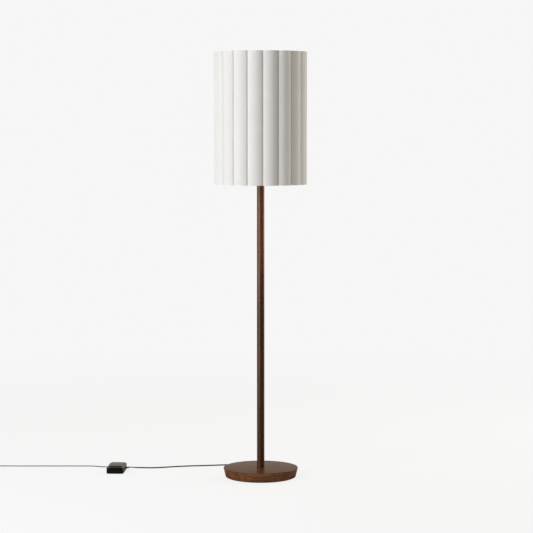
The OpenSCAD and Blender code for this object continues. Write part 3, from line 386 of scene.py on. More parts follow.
@dataclass(frozen=True)
class Linen(Finish):
    """Fine plain weave on a stiff backing, drawn on the piece's own UV map. Sizes in metres.

    Attributes:
        thread: Colour of the raised threads.
        shade: Colour between them.
        pitch: Distance from thread to thread.
        panel: Width on the UV map that one panel of cloth takes.
        fold_edge: Distance from a panel's middle to its fold, or 0 where the cloth has none.
        fold_shade_width: Width of the painted shade line that darkens the fold.
    """

    thread: Colour
    shade: Colour
    pitch: float = 0.00062
    panel: float = 0.06
    fold_edge: float = 0.0
    fold_shade_width: float = 0.0022

    def paint(self, shader: Shader) -> None:
        """Adds the weave, slubs in both threads, a slow unevenness and painted shade: dark lines
        along the folds.

        Args:
            shader: The fresh shader.
        """
        flat = shader.node("ShaderNodeUVMap", {"uv_map": CLOTH_MAP}).outputs[0]
        across, up = shader.part(flat, "X"), shader.part(flat, "Y")
        turns = FULL / self.pitch
        warp = shader.noise(1.0, (1900, 60, 1), 2, source=flat)
        weft = shader.noise(1.0, (60, 1900, 1), 2, source=flat)
        slow = shader.noise(1.0, (16, 9, 1), 3, source=flat)
        ripple = (across * turns).sine() * (up * turns).sine()
        slubs = (warp + weft) * 0.5
        tone = (slubs * 0.6 + slow * 0.25 + ripple * 0.05 + 0.1).step(0.3, 0.72)
        cloth = shader.blend(tone, self.shade, self.thread)
        # Painted shade: the cloth darkens in a thin line along each fold.
        if self.fold_edge:
            line = abs(across.cycle(self.panel)).step(self.fold_edge - self.fold_shade_width, self.fold_edge)
            cloth = shader.blend(line * 0.8, cloth, scaled(self.shade, 0.72))
        shader.dress(
            Base_Color=cloth,
            Roughness=0.88 - slubs * 0.1,
            Sheen_Weight=0.12,
            Sheen_Roughness=0.5,
            Specular_IOR_Level=0.25,
        )
        shader.bump(ripple * 0.25 + slubs * 0.75, 0.00016, 0.7)


@dataclass(frozen=True)
class Metal(Finish):
    """Plated or lacquered metal with fine brushing and handling marks."""

    colour: Colour
    roughness: float
    metallic: float = 1.0
    brushed: Point = (1.0, 1.0, 12.0)

    def paint(self, shader: Shader) -> None:
        """Adds brushing, cloudy tarnish and small scratches.

        Args:
            shader: The fresh shader.
        """
        lines = shader.noise(260, self.brushed, 4)
        cloud = shader.noise(45, detail=4)
        marks = shader.noise(900, (1, 0.2, 0.2), 2).step(0.66, 0.7)
        clean = (cloud * 0.7 + lines * 0.3).step(0.35, 0.65)
        shader.dress(
            Base_Color=shader.blend(clean, scaled(self.colour, 0.72), self.colour),
            Metallic=self.metallic,
            Roughness=self.roughness + lines * 0.14 + cloud * 0.1 + marks * 0.12,
        )
        shader.bump(lines * 0.6 - marks * 0.4, 0.00003, 0.5)


@dataclass(frozen=True)
class Moulding(Finish):
    """Moulded plastic, rubber or vinyl with a fine skin texture."""

    colour: Colour
    roughness: float
    texture: float = 0.00002
    scale: float = 1600.0
    coat: float = 0.0
    subsurface: float = 0.0
    shine: float = 0.3

    def paint(self, shader: Shader) -> None:
        """Adds an orange-peel skin, dust in the hollows and rubbed places.

        Args:
            shader: The fresh shader.
        """
        skin = shader.noise(self.scale, detail=2)
        wear = shader.noise(60, detail=5)
        dust = tuple(min(1.0, c * 1.25 + 0.004) for c in self.colour)
        shader.dress(
            Base_Color=shader.blend(wear.step(0.5, 0.75) * 0.6, self.colour, dust),
            Roughness=self.roughness + wear * 0.12 + skin * 0.05 - 0.06,
            Coat_Weight=self.coat,
            Coat_Roughness=0.08,
            Specular_IOR_Level=self.shine,
            Subsurface_Weight=self.subsurface,
            Subsurface_Scale=0.004,
        )
        shader.bump(skin * 0.8 + wear * 0.2, self.texture, 0.6)


@dataclass(frozen=True)
class Rough(Finish):
    """Felt, woven tape, card or cast iron: a rough body colour with loose grain."""

    dark: Colour
    light: Colour
    scale: float
    depth: float
    metallic: float = 0.0
    roughness: float = 0.9

    def paint(self, shader: Shader) -> None:
        """Adds coarse and fine grain that also roughens the surface.

        Args:
            shader: The fresh shader.
        """
        grain = shader.noise(self.scale, detail=5)
        clumps = shader.noise(self.scale / 8, detail=3)
        tone = (grain * 0.6 + clumps * 0.4).step(0.35, 0.68)
        shader.dress(
            Base_Color=shader.blend(tone, self.dark, self.light),
            Metallic=self.metallic,
            Roughness=self.roughness - grain * 0.1,
        )
        shader.bump(grain * 0.7 + clumps * 0.3, self.depth, 0.8)


@dataclass(frozen=True)
class Frost(Finish):
    """Frosted white bulb envelope."""

    colour: Colour

    def paint(self, shader: Shader) -> None:
        """Adds a faint powder tone under a smooth skin.

        Args:
            shader: The fresh shader.
        """
        powder = shader.noise(700, detail=3)
        shader.dress(
            Base_Color=shader.blend(powder, scaled(self.colour, 0.96), self.colour),
            Roughness=0.32 + powder * 0.08,
            Subsurface_Weight=0.2,
            Subsurface_Scale=0.003,
        )
        shader.bump(powder, 0.00001, 0.3)


class Finishes:
    """The lamp's finishes by name."""

    # The upper pole's colour darkens towards its lower end.
    POLE_UPPER = Wood("walnut_upper", "wood_pole", (0.1, 0.026, 0.0085), (0.262, 0.09, 0.036),
                      Grain.UPRIGHT, deep=DarkBand(0.85, 0.6, 0.05))
    POLE_LOWER = Wood("walnut_lower", "wood_pole", (0.043, 0.0098, 0.003), (0.13, 0.038, 0.0135),
                      Grain.UPRIGHT, shift=(3.1, 1.7, 0.4))
    # Painted shade: the base's top face is coloured darker than its side.
    BASE = Wood("walnut_base", "wood_base", (0.104, 0.033, 0.011), (0.262, 0.111, 0.047),
                Grain.ACROSS, 0.36, 0.28, 0.12, deep=DarkBand(0.0332, 0.0356, 0.0, 0.95))
    LINEN = Linen("shade_linen", "linen", (0.883, 0.871, 0.871), (0.818, 0.805, 0.8), fold_edge=0.0297)
    TAPE = Linen("ring_tape", "linen", (0.85, 0.84, 0.82), (0.74, 0.73, 0.705))
    WIRE = Moulding("coated_wire", "white_wire", (0.8, 0.8, 0.78), 0.34)
    BRASS = Metal("satin_brass", "brass", (0.72, 0.52, 0.26), 0.26)
    STEEL = Metal("plated_steel", "plated_steel", (0.66, 0.67, 0.68), 0.28)
    BRONZE = Metal("bronze_cap", "bronze_cap", (0.13, 0.085, 0.055), 0.32, 0.85)
    IRON = Rough("cast_iron", "cast_weight", (0.045, 0.045, 0.047), (0.1, 0.1, 0.1), 500, 0.0004,
                 0.7, 0.7)
    FELT = Rough("pressed_felt", "felt", (0.012, 0.011, 0.011), (0.03, 0.028, 0.027), 1400, 0.0005)
    CARD = Rough("pressed_card", "card_tube", (0.2, 0.125, 0.06), (0.3, 0.2, 0.1), 900, 0.0001)
    BAND = Rough("tie_band", "tie_band", (0.006, 0.006, 0.006), (0.02, 0.02, 0.02), 2600, 0.0003)
    BAKED = Moulding("moulded_black", "moulded_black", (0.012, 0.012, 0.012), 0.38)
    HOUSING = Moulding("switch_black", "switch_housing", (0.0032, 0.0032, 0.0035), 0.3, 0.000008,
                       900, 0.45, shine=0.25)
    RUBBER = Moulding("soft_rubber", "switch_rubber", (0.012, 0.012, 0.012), 0.62, 0.00004)
    VINYL = Moulding("cord_vinyl", "cord_vinyl", (0.011, 0.011, 0.012), 0.5, 0.00002, 1200,
                     shine=0.2)
    LEAD = Moulding("lead_cover", "lead_cover", (0.012, 0.012, 0.012), 0.4)
    WORKS = Moulding("works_grey", "module_plastic", (0.045, 0.048, 0.055), 0.5)
    COLLAR = Moulding("bulb_collar", "bulb_plastic", (0.85, 0.85, 0.83), 0.4, subsurface=0.1)
    FROST = Frost("bulb_frost", "bulb_frost", (0.9, 0.9, 0.88))


def put(name: str, data: Any) -> bpy.types.Object:
    """Makes an object and puts it in the scene.

    Args:
        name: The object's name.
        data: Its mesh, lamp or camera.

    Returns:
        The new object.
    """
    made = bpy.data.objects.new(name, data)
    bpy.context.scene.collection.objects.link(made)
    return made


def placed(x: float, y: float, z: float, turn: float = 0.0, about: str = "Z") -> Matrix:
    """A place in millimetres, turned by an angle in degrees about one of its axes."""
    turned = Matrix.Rotation(math.radians(turn), 4, about)
    return Matrix.Translation((x * MM, y * MM, z * MM)) @ turned


def arc(cx: float, cy: float, r: float, start: float, end: float, steps: int) -> list[Corner]:
    """Points of an arc about a centre, angles in degrees."""
    turns = [math.radians(start + (end - start) * i / steps) for i in range(steps + 1)]
    return [(cx + r * math.cos(a), cy + r * math.sin(a)) for a in turns]


def eased(route: Sequence[Point], step: float) -> list[Vector]:
    """Draws the smooth curve through a route.

    Args:
        route: The points that the curve passes.
        step: The longest distance between its points, in the route's own unit.

    Returns:
        Points close together on the curve.
    """
    knots = [Vector(p) for p in route]
    ends = [knots[0]] + knots + [knots[-1]]
    out: list[Vector] = []
    for a, b, c, d in zip(ends, ends[1:], ends[2:], ends[3:]):
        count = max(1, math.ceil((c - b).length / step))
        for k in range(count):
            t = k / count
            out.append(0.5 * (2 * b + (c - a) * t + (2 * a - 5 * b + 4 * c - d) * t * t
                              + (3 * b - a - 3 * c + d) * t ** 3))
    return out + [knots[-1]]


class Form:
    """A mesh under construction, in metres, that ends as an object at the origin."""

    def __init__(self, name: str) -> None:
        """Starts an empty mesh for a piece of that name."""
        self.name = name
        self.bm = bmesh.new()

    def chain(self, corners: Iterable[Corner], to_3d: Matrix, closed: bool) -> Edges:
        """Lays an outline of rounded corners.

        Args:
            corners: The outline's corners in millimetres.
            to_3d: Places the outline's own plane in the piece, in metres.
            closed: Whether the outline closes on itself.

        Returns:
            The outline's edges.
        """
        known = set(self.bm.edges)
        verts, rounded = [], []
        for x, y, *radius in corners:
            verts.append(self.bm.verts.new(to_3d @ Vector((x * MM, y * MM, 0))))
            rounded += [(verts[-1], r) for r in radius]
        for a, b in zip(verts, verts[1:] + (verts[:1] if closed else [])):
            self.bm.edges.new((a, b))
        for vert, radius in rounded:
            steps = max(3, min(10, round(radius * 2)))
            bmesh.ops.bevel(self.bm, geom=[vert], offset=radius * MM, segments=steps, profile=0.5,
                            affect="VERTICES", material=-1)
        return [e for e in self.bm.edges if e not in known]

    def spin(self, edges: Edges, place: Matrix, steps: int) -> None:
        """Turns edges all the way round an axis.

        Args:
            edges: The edges.
            place: A place whose Z is the axis.
            steps: Sides of the turned shape.
        """
        verts = list({v for e in edges for v in e.verts})
        bmesh.ops.spin(self.bm, geom=verts + edges, cent=place.translation,
                       axis=place.to_3x3() @ UP, dvec=(0, 0, 0), angle=FULL, steps=steps,
                       use_merge=True, use_duplicate=False)

    def lathe(self, corners: Iterable[Corner], steps: int = 96,
              axis: Optional[Matrix] = None) -> None:
        """Turns an outline of radius and height about +Z, or about the Z of a placed axis."""
        place = axis or Matrix.Identity(4)
        self.spin(self.chain(corners, place @ STAND, False), place, steps)

    def ring(self, radius: float, z: float, wire: float, steps: int = 180, sides: int = 14) -> None:
        """Bends a round wire to a circle about the lamp's axis.

        Args:
            radius: The circle's radius in millimetres.
            z: Its height in millimetres.
            wire: The wire's own radius in millimetres.
            steps: Sides of the circle.
            sides: Sides of the wire.
        """
        made = bmesh.ops.create_circle(self.bm, cap_ends=False, segments=sides, radius=wire * MM,
                                       matrix=placed(radius, 0, z) @ STAND)
        self.spin(list({e for v in made["verts"] for e in v.link_edges}), Matrix.Identity(4), steps)

    def rod(self, a: Point, b: Point, radius: float, sides: int) -> None:
        """Cuts a straight round rod.

        Args:
            a: The middle of one end in millimetres.
            b: The middle of the other end.
            radius: The rod's radius in millimetres.
            sides: Its sides.
        """
        start, run = Vector(a) * MM, (Vector(b) - Vector(a)) * MM
        turn = UP.rotation_difference(run).to_matrix().to_4x4()
        bmesh.ops.create_cone(self.bm, cap_ends=True, cap_tris=False, segments=sides,
                              radius1=radius * MM, radius2=radius * MM, depth=run.length,
                              matrix=Matrix.Translation(start + run / 2) @ turn)

    def grow(self, edges: Edges) -> tuple[Edges, list[bmesh.types.BMVert]]:
        """Extrudes edges, still in their place.

        Args:
            edges: The edges to extrude.

        Returns:
            The new edges that lie on the old ones, and their vertices.
        """
        grown = bmesh.ops.extrude_edge_only(self.bm, edges=edges)["geom"]
        verts = [g for g in grown if isinstance(g, bmesh.types.BMVert)]
        known = set(verts)
        return [g for g in grown
                if isinstance(g, bmesh.types.BMEdge) and known.issuperset(g.verts)], verts

    def cap(self, *rims: Edges) -> None:
        """Closes each rim with a face."""
        for rim in rims:
            bmesh.ops.contextual_create(self.bm, geom=rim)

    def sweep(self, path: Sequence[Vector], section: Sequence[Corner],
              level: Optional[Vector] = None, rolls: Sequence[float] = ()) -> None:
        """Carries a closed section along a path.

        Args:
            path: Points in metres.
            section: The section's corners in millimetres, first across, then up.
            level: The direction across, where it isn't simply level.
            rolls: How far the section is turned about the path at each point, in degrees.
        """
        frames = []
        for i, (point, roll) in enumerate(zip(path, rolls or [0.0] * len(path))):
            ahead = (path[min(i + 1, len(path) - 1)] - path[max(i - 1, 0)]).normalized()
            across = (level or ahead.cross(UP)).normalized()
            turn = Matrix((across, across.cross(ahead).normalized(), ahead)).transposed().to_4x4()
            frames.append(Matrix.Translation(point) @ turn
                          @ Matrix.Rotation(math.radians(roll), 4, "Z"))
        first = edges = self.chain(section, frames[0], True)
        for before, after in zip(frames, frames[1:]):
            edges, verts = self.grow(edges)
            bmesh.ops.transform(self.bm, matrix=after @ before.inverted(), verts=verts)
        self.cap(first, edges)

    def loft(self, place: Matrix, stations: Sequence[Point], roundness: float = 0.45) -> None:
        """Grows a rounded oblong through stations.

        Args:
            place: Where the oblong's own origin lies.
            stations: Height, width and thickness at each station, in millimetres.
            roundness: Radius of the corners, as a share of the lesser side.
        """
        z0, w0, t0 = stations[0]
        corners = oblong(w0, t0, roundness * min(w0, t0))
        first = edges = self.chain(corners, place @ placed(0, 0, z0), True)
        back = place.inverted()
        for (za, wa, ta), (zb, wb, tb) in zip(stations, stations[1:]):
            edges, verts = self.grow(edges)
            grown = placed(0, 0, zb - za) @ Matrix.Diagonal((wb / wa, tb / ta, 1, 1))
            bmesh.ops.transform(self.bm, matrix=place @ grown @ back, verts=verts)
        self.cap(first, edges)

    def slab(self, place: Matrix, corners: Sequence[Corner], z0: float, z1: float,
             top: float = 0.0, foot: float = 0.0) -> list[bmesh.types.BMFace]:
        """A plate of rounded outline between two heights, with its rims rounded.

        Args:
            place: Where the plate's own origin lies.
            corners: Its outline in millimetres.
            z0: Height of its underside.
            z1: Height of its top.
            top: Rounding of the upper rim.
            foot: Rounding of the lower rim.

        Returns:
            The faces of the upper side.
        """
        edges = self.chain(corners, place @ placed(0, 0, z0), True)
        floor = bmesh.ops.contextual_create(self.bm, geom=edges)["faces"]
        grown = bmesh.ops.extrude_face_region(self.bm, geom=floor, use_keep_orig=True)["geom"]
        verts = [g for g in grown if isinstance(g, bmesh.types.BMVert)]
        bmesh.ops.translate(self.bm, vec=place.to_3x3() @ UP * (z1 - z0) * MM, verts=verts)
        upper = [g for g in grown
                 if isinstance(g, bmesh.types.BMFace) and all(v in verts for v in g.verts)]
        for faces, radius in ((upper, top), (floor, foot)):
            if radius:
                rim = list({e for f in faces for e in f.edges})
                bmesh.ops.bevel(self.bm, geom=rim, offset=radius * MM, segments=5, profile=0.5,
                                affect="EDGES", material=-1)
        high = max(f.calc_center_median().z for f in self.bm.faces)
        return [f for f in self.bm.faces if f.calc_center_median().z > high - 1e-6]

    def done(self, look: Finish, body: Body, nodes: Sequence[str],
             sharp: float = 35.0) -> bpy.types.Object:
        """Closes the mesh and makes it a piece of the lamp.

        Args:
            look: The piece's finish.
            body: The body that it rides on.
            nodes: The CAD nodes that it stands for.
            sharp: Edges that turn by more than this angle, in degrees, stay crisp.

        Returns:
            The piece.
        """
        bmesh.ops.remove_doubles(self.bm, verts=self.bm.verts, dist=1e-6)
        bmesh.ops.recalc_face_normals(self.bm, faces=self.bm.faces)
        mesh = bpy.data.meshes.new(self.name)
        self.bm.to_mesh(mesh)
        self.bm.free()
        mesh.shade_smooth()
        mesh.set_sharp_from_angle(angle=math.radians(sharp))
        mesh.materials.append(look.material())
        piece = put(self.name, mesh)
        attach(piece, body.value)
        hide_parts(*nodes)
        log.info("%s: %d faces on %s", self.name, len(mesh.polygons), body.value)
        return piece


def oblong(width: float, length: float, radius: float) -> list[Corner]:
    """Outline of a plate with four like corners."""
    return [(x * width, y * length, radius)
            for x, y in ((-0.5, -0.5), (0.5, -0.5), (0.5, 0.5), (-0.5, 0.5))]


def turn_piece(name: str, node: str, look: Finish, corners: Iterable[Corner], steps: int = 96,
               body: Body = Body.LAMP, axis: Optional[Matrix] = None, sharp: float = 35.0) -> None:
    """Turns a whole piece on the lathe.

    Args:
        name: The piece's name.
        node: The CAD node that it stands for.
        look: Its finish.
        corners: Its outline, of radius and height in millimetres.
        steps: Sides of the turned shape.
        body: The body that it rides on.
        axis: Where its own axis stands, where that isn't the lamp's.
        sharp: Edges that turn by more than this angle, in degrees, stay crisp.
    """
    form = Form(name)
    form.lathe(corners, steps, axis)
    form.done(look, body, [node], sharp)


@dataclass(frozen=True)
class Softbox:
    """A soft oblong lamp that faces a point. Places and sizes in metres, power in watts."""

    name: str
    at: Point
    aim: Point
    size: tuple[float, float]
    power: float
    colour: Colour

    def hang(self) -> None:
        """Hangs the lamp in the scene."""
        data = bpy.data.lights.new(self.name, "AREA")
        data.shape = "RECTANGLE"
        data.size, data.size_y = self.size
        data.energy = self.power
        data.color = self.colour
        lamp = put(self.name, data)
        lamp.location = self.at
        ahead = Vector(self.aim) - Vector(self.at)
        lamp.rotation_euler = ahead.to_track_quat("-Z", "Y").to_euler()


@dataclass
class Studio:
    """The camera at the photograph's place, the lamps, the world and the pale floor, in metres.

    Attributes:
        eye: The camera's place.
        pitch: How far it looks down, in degrees.
        lens: Its focal length in millimetres.
        paper: Strength of the white sweep that the camera sees.
        ambient: The even light on the object.
        mirrored: What shiny surfaces mirror from behind the object.
        unlit: What they mirror from in front of it.
        key: The large lamp on the left.
        fill: The weak warm lamp on the right.
        floor_r: The floor's radius.
        fade: Distances over which the floor turns into the sweep.
        lift: Share of plain white in the floor that the camera sees.
    """

    eye: Point = (0.02088, -6.9258, 1.2816)
    pitch: float = 4.3
    lens: float = 131.06
    paper: float = 0.9216
    ambient: Colour = (0.37, 0.352, 0.306)
    mirrored: Colour = (0.55, 0.505, 0.43)
    unlit: Colour = (0.03, 0.028, 0.025)
    key: Softbox = Softbox("key", (-2.43, -1.93, 1.55), (0, 0, 1.4), (1.3, 3.0), 66,
                           (0.955, 0.98, 1.0))
    fill: Softbox = Softbox("fill", (2.42, 1.4, 1.5), (0, 0, 0.9), (0.9, 2.0), 28,
                            (1.0, 0.94, 0.79))
    floor_r: float = 14.0
    fade: tuple[float, float] = (1.2, 4.0)
    lift: float = 0.83

    def camera(self) -> None:
        """Places the camera."""
        data = bpy.data.cameras.new("camera")
        data.lens = self.lens
        data.sensor_width = 36.0
        data.clip_end = 60.0
        camera = put("camera", data)
        camera.location = self.eye
        camera.rotation_euler = (math.radians(90 - self.pitch), 0, 0)
        bpy.context.scene.camera = camera

    def world(self) -> None:
        """Lights the object evenly, and shows a white sweep to the camera."""
        world = bpy.data.worlds.new("studio")
        bpy.context.scene.world = world
        world.use_nodes = True
        nodes = Nodes(world.node_tree)
        rays = nodes.node("ShaderNodeLightPath").outputs
        where = nodes.node("ShaderNodeTexCoord").outputs["Generated"]
        room = nodes.blend(nodes.part(where, "Y").step(0.0, 0.6), self.unlit, self.mirrored)
        shiny = nodes.math("MAXIMUM", rays["Is Glossy Ray"], rays["Is Transmission Ray"])
        seen = nodes.blend(shiny, self.ambient, room)
        sky = nodes.blend(rays["Is Camera Ray"], seen, scaled(WHITE, self.paper))
        glow = nodes.node("ShaderNodeBackground", {}, {"Color": sky})
        nodes.node("ShaderNodeOutputWorld", {}, {"Surface": glow})

    def floor(self) -> None:
        """Lays the pale floor, which keeps the lamp's soft shadow and fades into the sweep.
        In reflections the floor is painted darker in front of the lamp and lighter behind it.
        """
        bm = bmesh.new()
        bmesh.ops.create_circle(bm, cap_ends=True, segments=64, radius=self.floor_r)
        mesh = bpy.data.meshes.new("floor")
        bm.to_mesh(mesh)
        bm.free()
        shader = Shader("paper_floor")
        shader.dress(Base_Color=(0.835, 0.85, 0.885), Roughness=0.9, Specular_IOR_Level=0.1)
        # Painted reflection: shiny pieces see the floor darker in front and lighter behind.
        behind = shader.part(shader.place, "Y").step(-0.1, 0.2)
        tone = shader.blend(behind, (0.07, 0.067, 0.062), (0.6, 0.59, 0.57))
        reflected_floor_shade = shader.node("ShaderNodeBsdfDiffuse", {}, {"Color": tone})
        rays = shader.node("ShaderNodeLightPath").outputs
        seen = Val(shader, rays["Is Camera Ray"])
        far = shader.node("ShaderNodeVectorMath", {"operation": "LENGTH"}, {0: shader.place})
        fade = Val(shader, far.outputs["Value"]).step(*self.fade) * seen
        matt = shader.layer(rays["Is Glossy Ray"], shader.surface, reflected_floor_shade)
        lit = shader.layer(seen * self.lift, matt, shader.glow(1.0))
        shader.feed(shader.out.inputs["Surface"], shader.layer(fade, lit, shader.glow(self.paper)))
        mesh.materials.append(shader.material)
        put("floor", mesh)

    def build(self) -> None:
        """Sets up all but the camera, and the plain colour view."""
        self.key.hang()
        self.fill.hang()
        self.world()
        self.floor()
        bpy.context.scene.view_settings.view_transform = "Standard"


@dataclass
class FootSwitch:
    """The foot switch on the cord, drawn about its own middle. Sizes in millimetres."""

    at: tuple[float, float] = (-527.5, 107.5)
    turn: float = -3.5
    width: float = 61.5
    length: float = 117.0
    height: float = 24.0
    split: float = 4.8
    foot: float = 1.5
    front: float = 9.0
    rear: float = 16.0
    pedal_w: float = 49.0
    pedal_len: float = 86.0
    pedal_r: float = 7.0
    pedal_z: float = 19.8
    room: float = 0.4
    proud: float = 3.2
    wall: float = 6.0
    fan: float = 50.0
    relief_end: float = 30.0

    @property
    def place(self) -> Matrix:
        """Where the switch lies on the floor."""
        return placed(*self.at, 0, self.turn)

    @property
    def lead_c(self) -> tuple[float, float]:
        """Centre of the rear right corner's rounding, where a lead turns outwards."""
        return self.width / 2 - self.rear, self.length / 2 - self.rear

    def relief(self, side: int) -> Matrix:
        """Where the strain relief on the right (1) or left (-1) starts, with Z along it."""
        x, y = self.lead_c
        return (self.place @ placed(side * x, y, self.split, -side * self.fan)
                @ Matrix.Rotation(-math.pi / 2, 4, "X"))

    def relief_tip(self, side: int) -> Point:
        """Finds where the cord leaves a strain relief.

        Args:
            side: 1 for the relief on the right, -1 for the one on the left.

        Returns:
            The relief's end in millimetres.
        """
        fan = math.radians(self.fan)
        x = side * (self.lead_c[0] + self.relief_end * math.sin(fan))
        y = self.lead_c[1] + self.relief_end * math.cos(fan)
        tip = self.place @ Vector((x * MM, y * MM, 0))
        return tip.x / MM, tip.y / MM, self.split

    def plan(self) -> list[Corner]:
        """Outline of the housing seen from above."""
        w, l = self.width / 2, self.length / 2
        return [(-w, -l, self.front), (w, -l, self.front), (w, l, self.rear), (-w, l, self.rear)]

    def cover(self) -> None:
        """Moulds the cover with the window that the pedal fills."""
        form = Form("switch_cover_moulded")
        bm, gap = form.bm, 2 * self.room
        tops = form.slab(self.place, self.plan(), self.split + 0.15, self.height, 3.0, 0.3)
        outer = list({e for f in tops for e in f.edges})
        bmesh.ops.delete(bm, geom=tops, context="FACES_ONLY")
        hole = oblong(self.pedal_w + gap, self.pedal_len + gap, self.pedal_r + self.room)
        window = form.chain(hole, self.place @ placed(0, 0, self.height), True)
        bmesh.ops.bridge_loops(bm, edges=outer + window)
        bmesh.ops.translate(bm, vec=(0, 0, -self.wall * MM), verts=form.grow(window)[1])
        form.done(Finishes.HOUSING, Body.LAMP, ["switch_cover"], 30)

    def tray(self) -> None:
        """Moulds the base plate and its rubber feet."""
        form = Form("switch_base_moulded")
        form.slab(self.place, self.plan(), self.foot, self.split - 0.05, 0.3, 0.8)
        form.done(Finishes.HOUSING, Body.LAMP, ["switch_base"], 30)
        form = Form("switch_feet_rubber")
        r, top = 4.5, self.foot + 0.5
        for x, y, _ in oblong(self.width - 24, self.length - 44, 0):
            form.lathe([(0, 0), (r, 0, 0.4), (r, top), (0, top)], 32, self.place @ placed(x, y, 0))
        form.done(Finishes.RUBBER, Body.LAMP, ["switch_feet"])

    def pedal(self) -> None:
        """Moulds the pedal with its softened rim."""
        form = Form("switch_pedal_moulded")
        plan = oblong(self.pedal_w, self.pedal_len, self.pedal_r)
        form.slab(self.place, plan, self.pedal_z, self.height + self.proud, 2.4)
        form.done(Finishes.HOUSING, Body.PEDAL, ["switch_pedal"], 30)

    def reliefs(self) -> None:
        """Moulds the two ribbed strain reliefs at the rear."""
        form = Form("switch_reliefs_ribbed")
        stations = [(10, 9, 5.4), (16.2, 9, 5.4)]
        for i in range(4):
            z = 18.2 + 2.9 * i
            w, t = 9 - 2.2 * (z - 16) / 14, 5.4 - 1.4 * (z - 16) / 14
            for along, less in ((0, 0), (0.25, 0.8), (0.95, 0.85), (1.2, 0.1)):
                stations.append((z + along, w - less, t - less))
        stations += [(29.6, 6.9, 4.1), (self.relief_end, 6.4, 3.6)]
        for side in (-1, 1):
            form.loft(self.relief(side), stations)
        form.done(Finishes.RUBBER, Body.LAMP, ["switch_reliefs"], 30)

    def build(self) -> None:
        """Makes the switch's pieces."""
        self.cover()
        self.tray()
        self.pedal()
        self.reliefs()


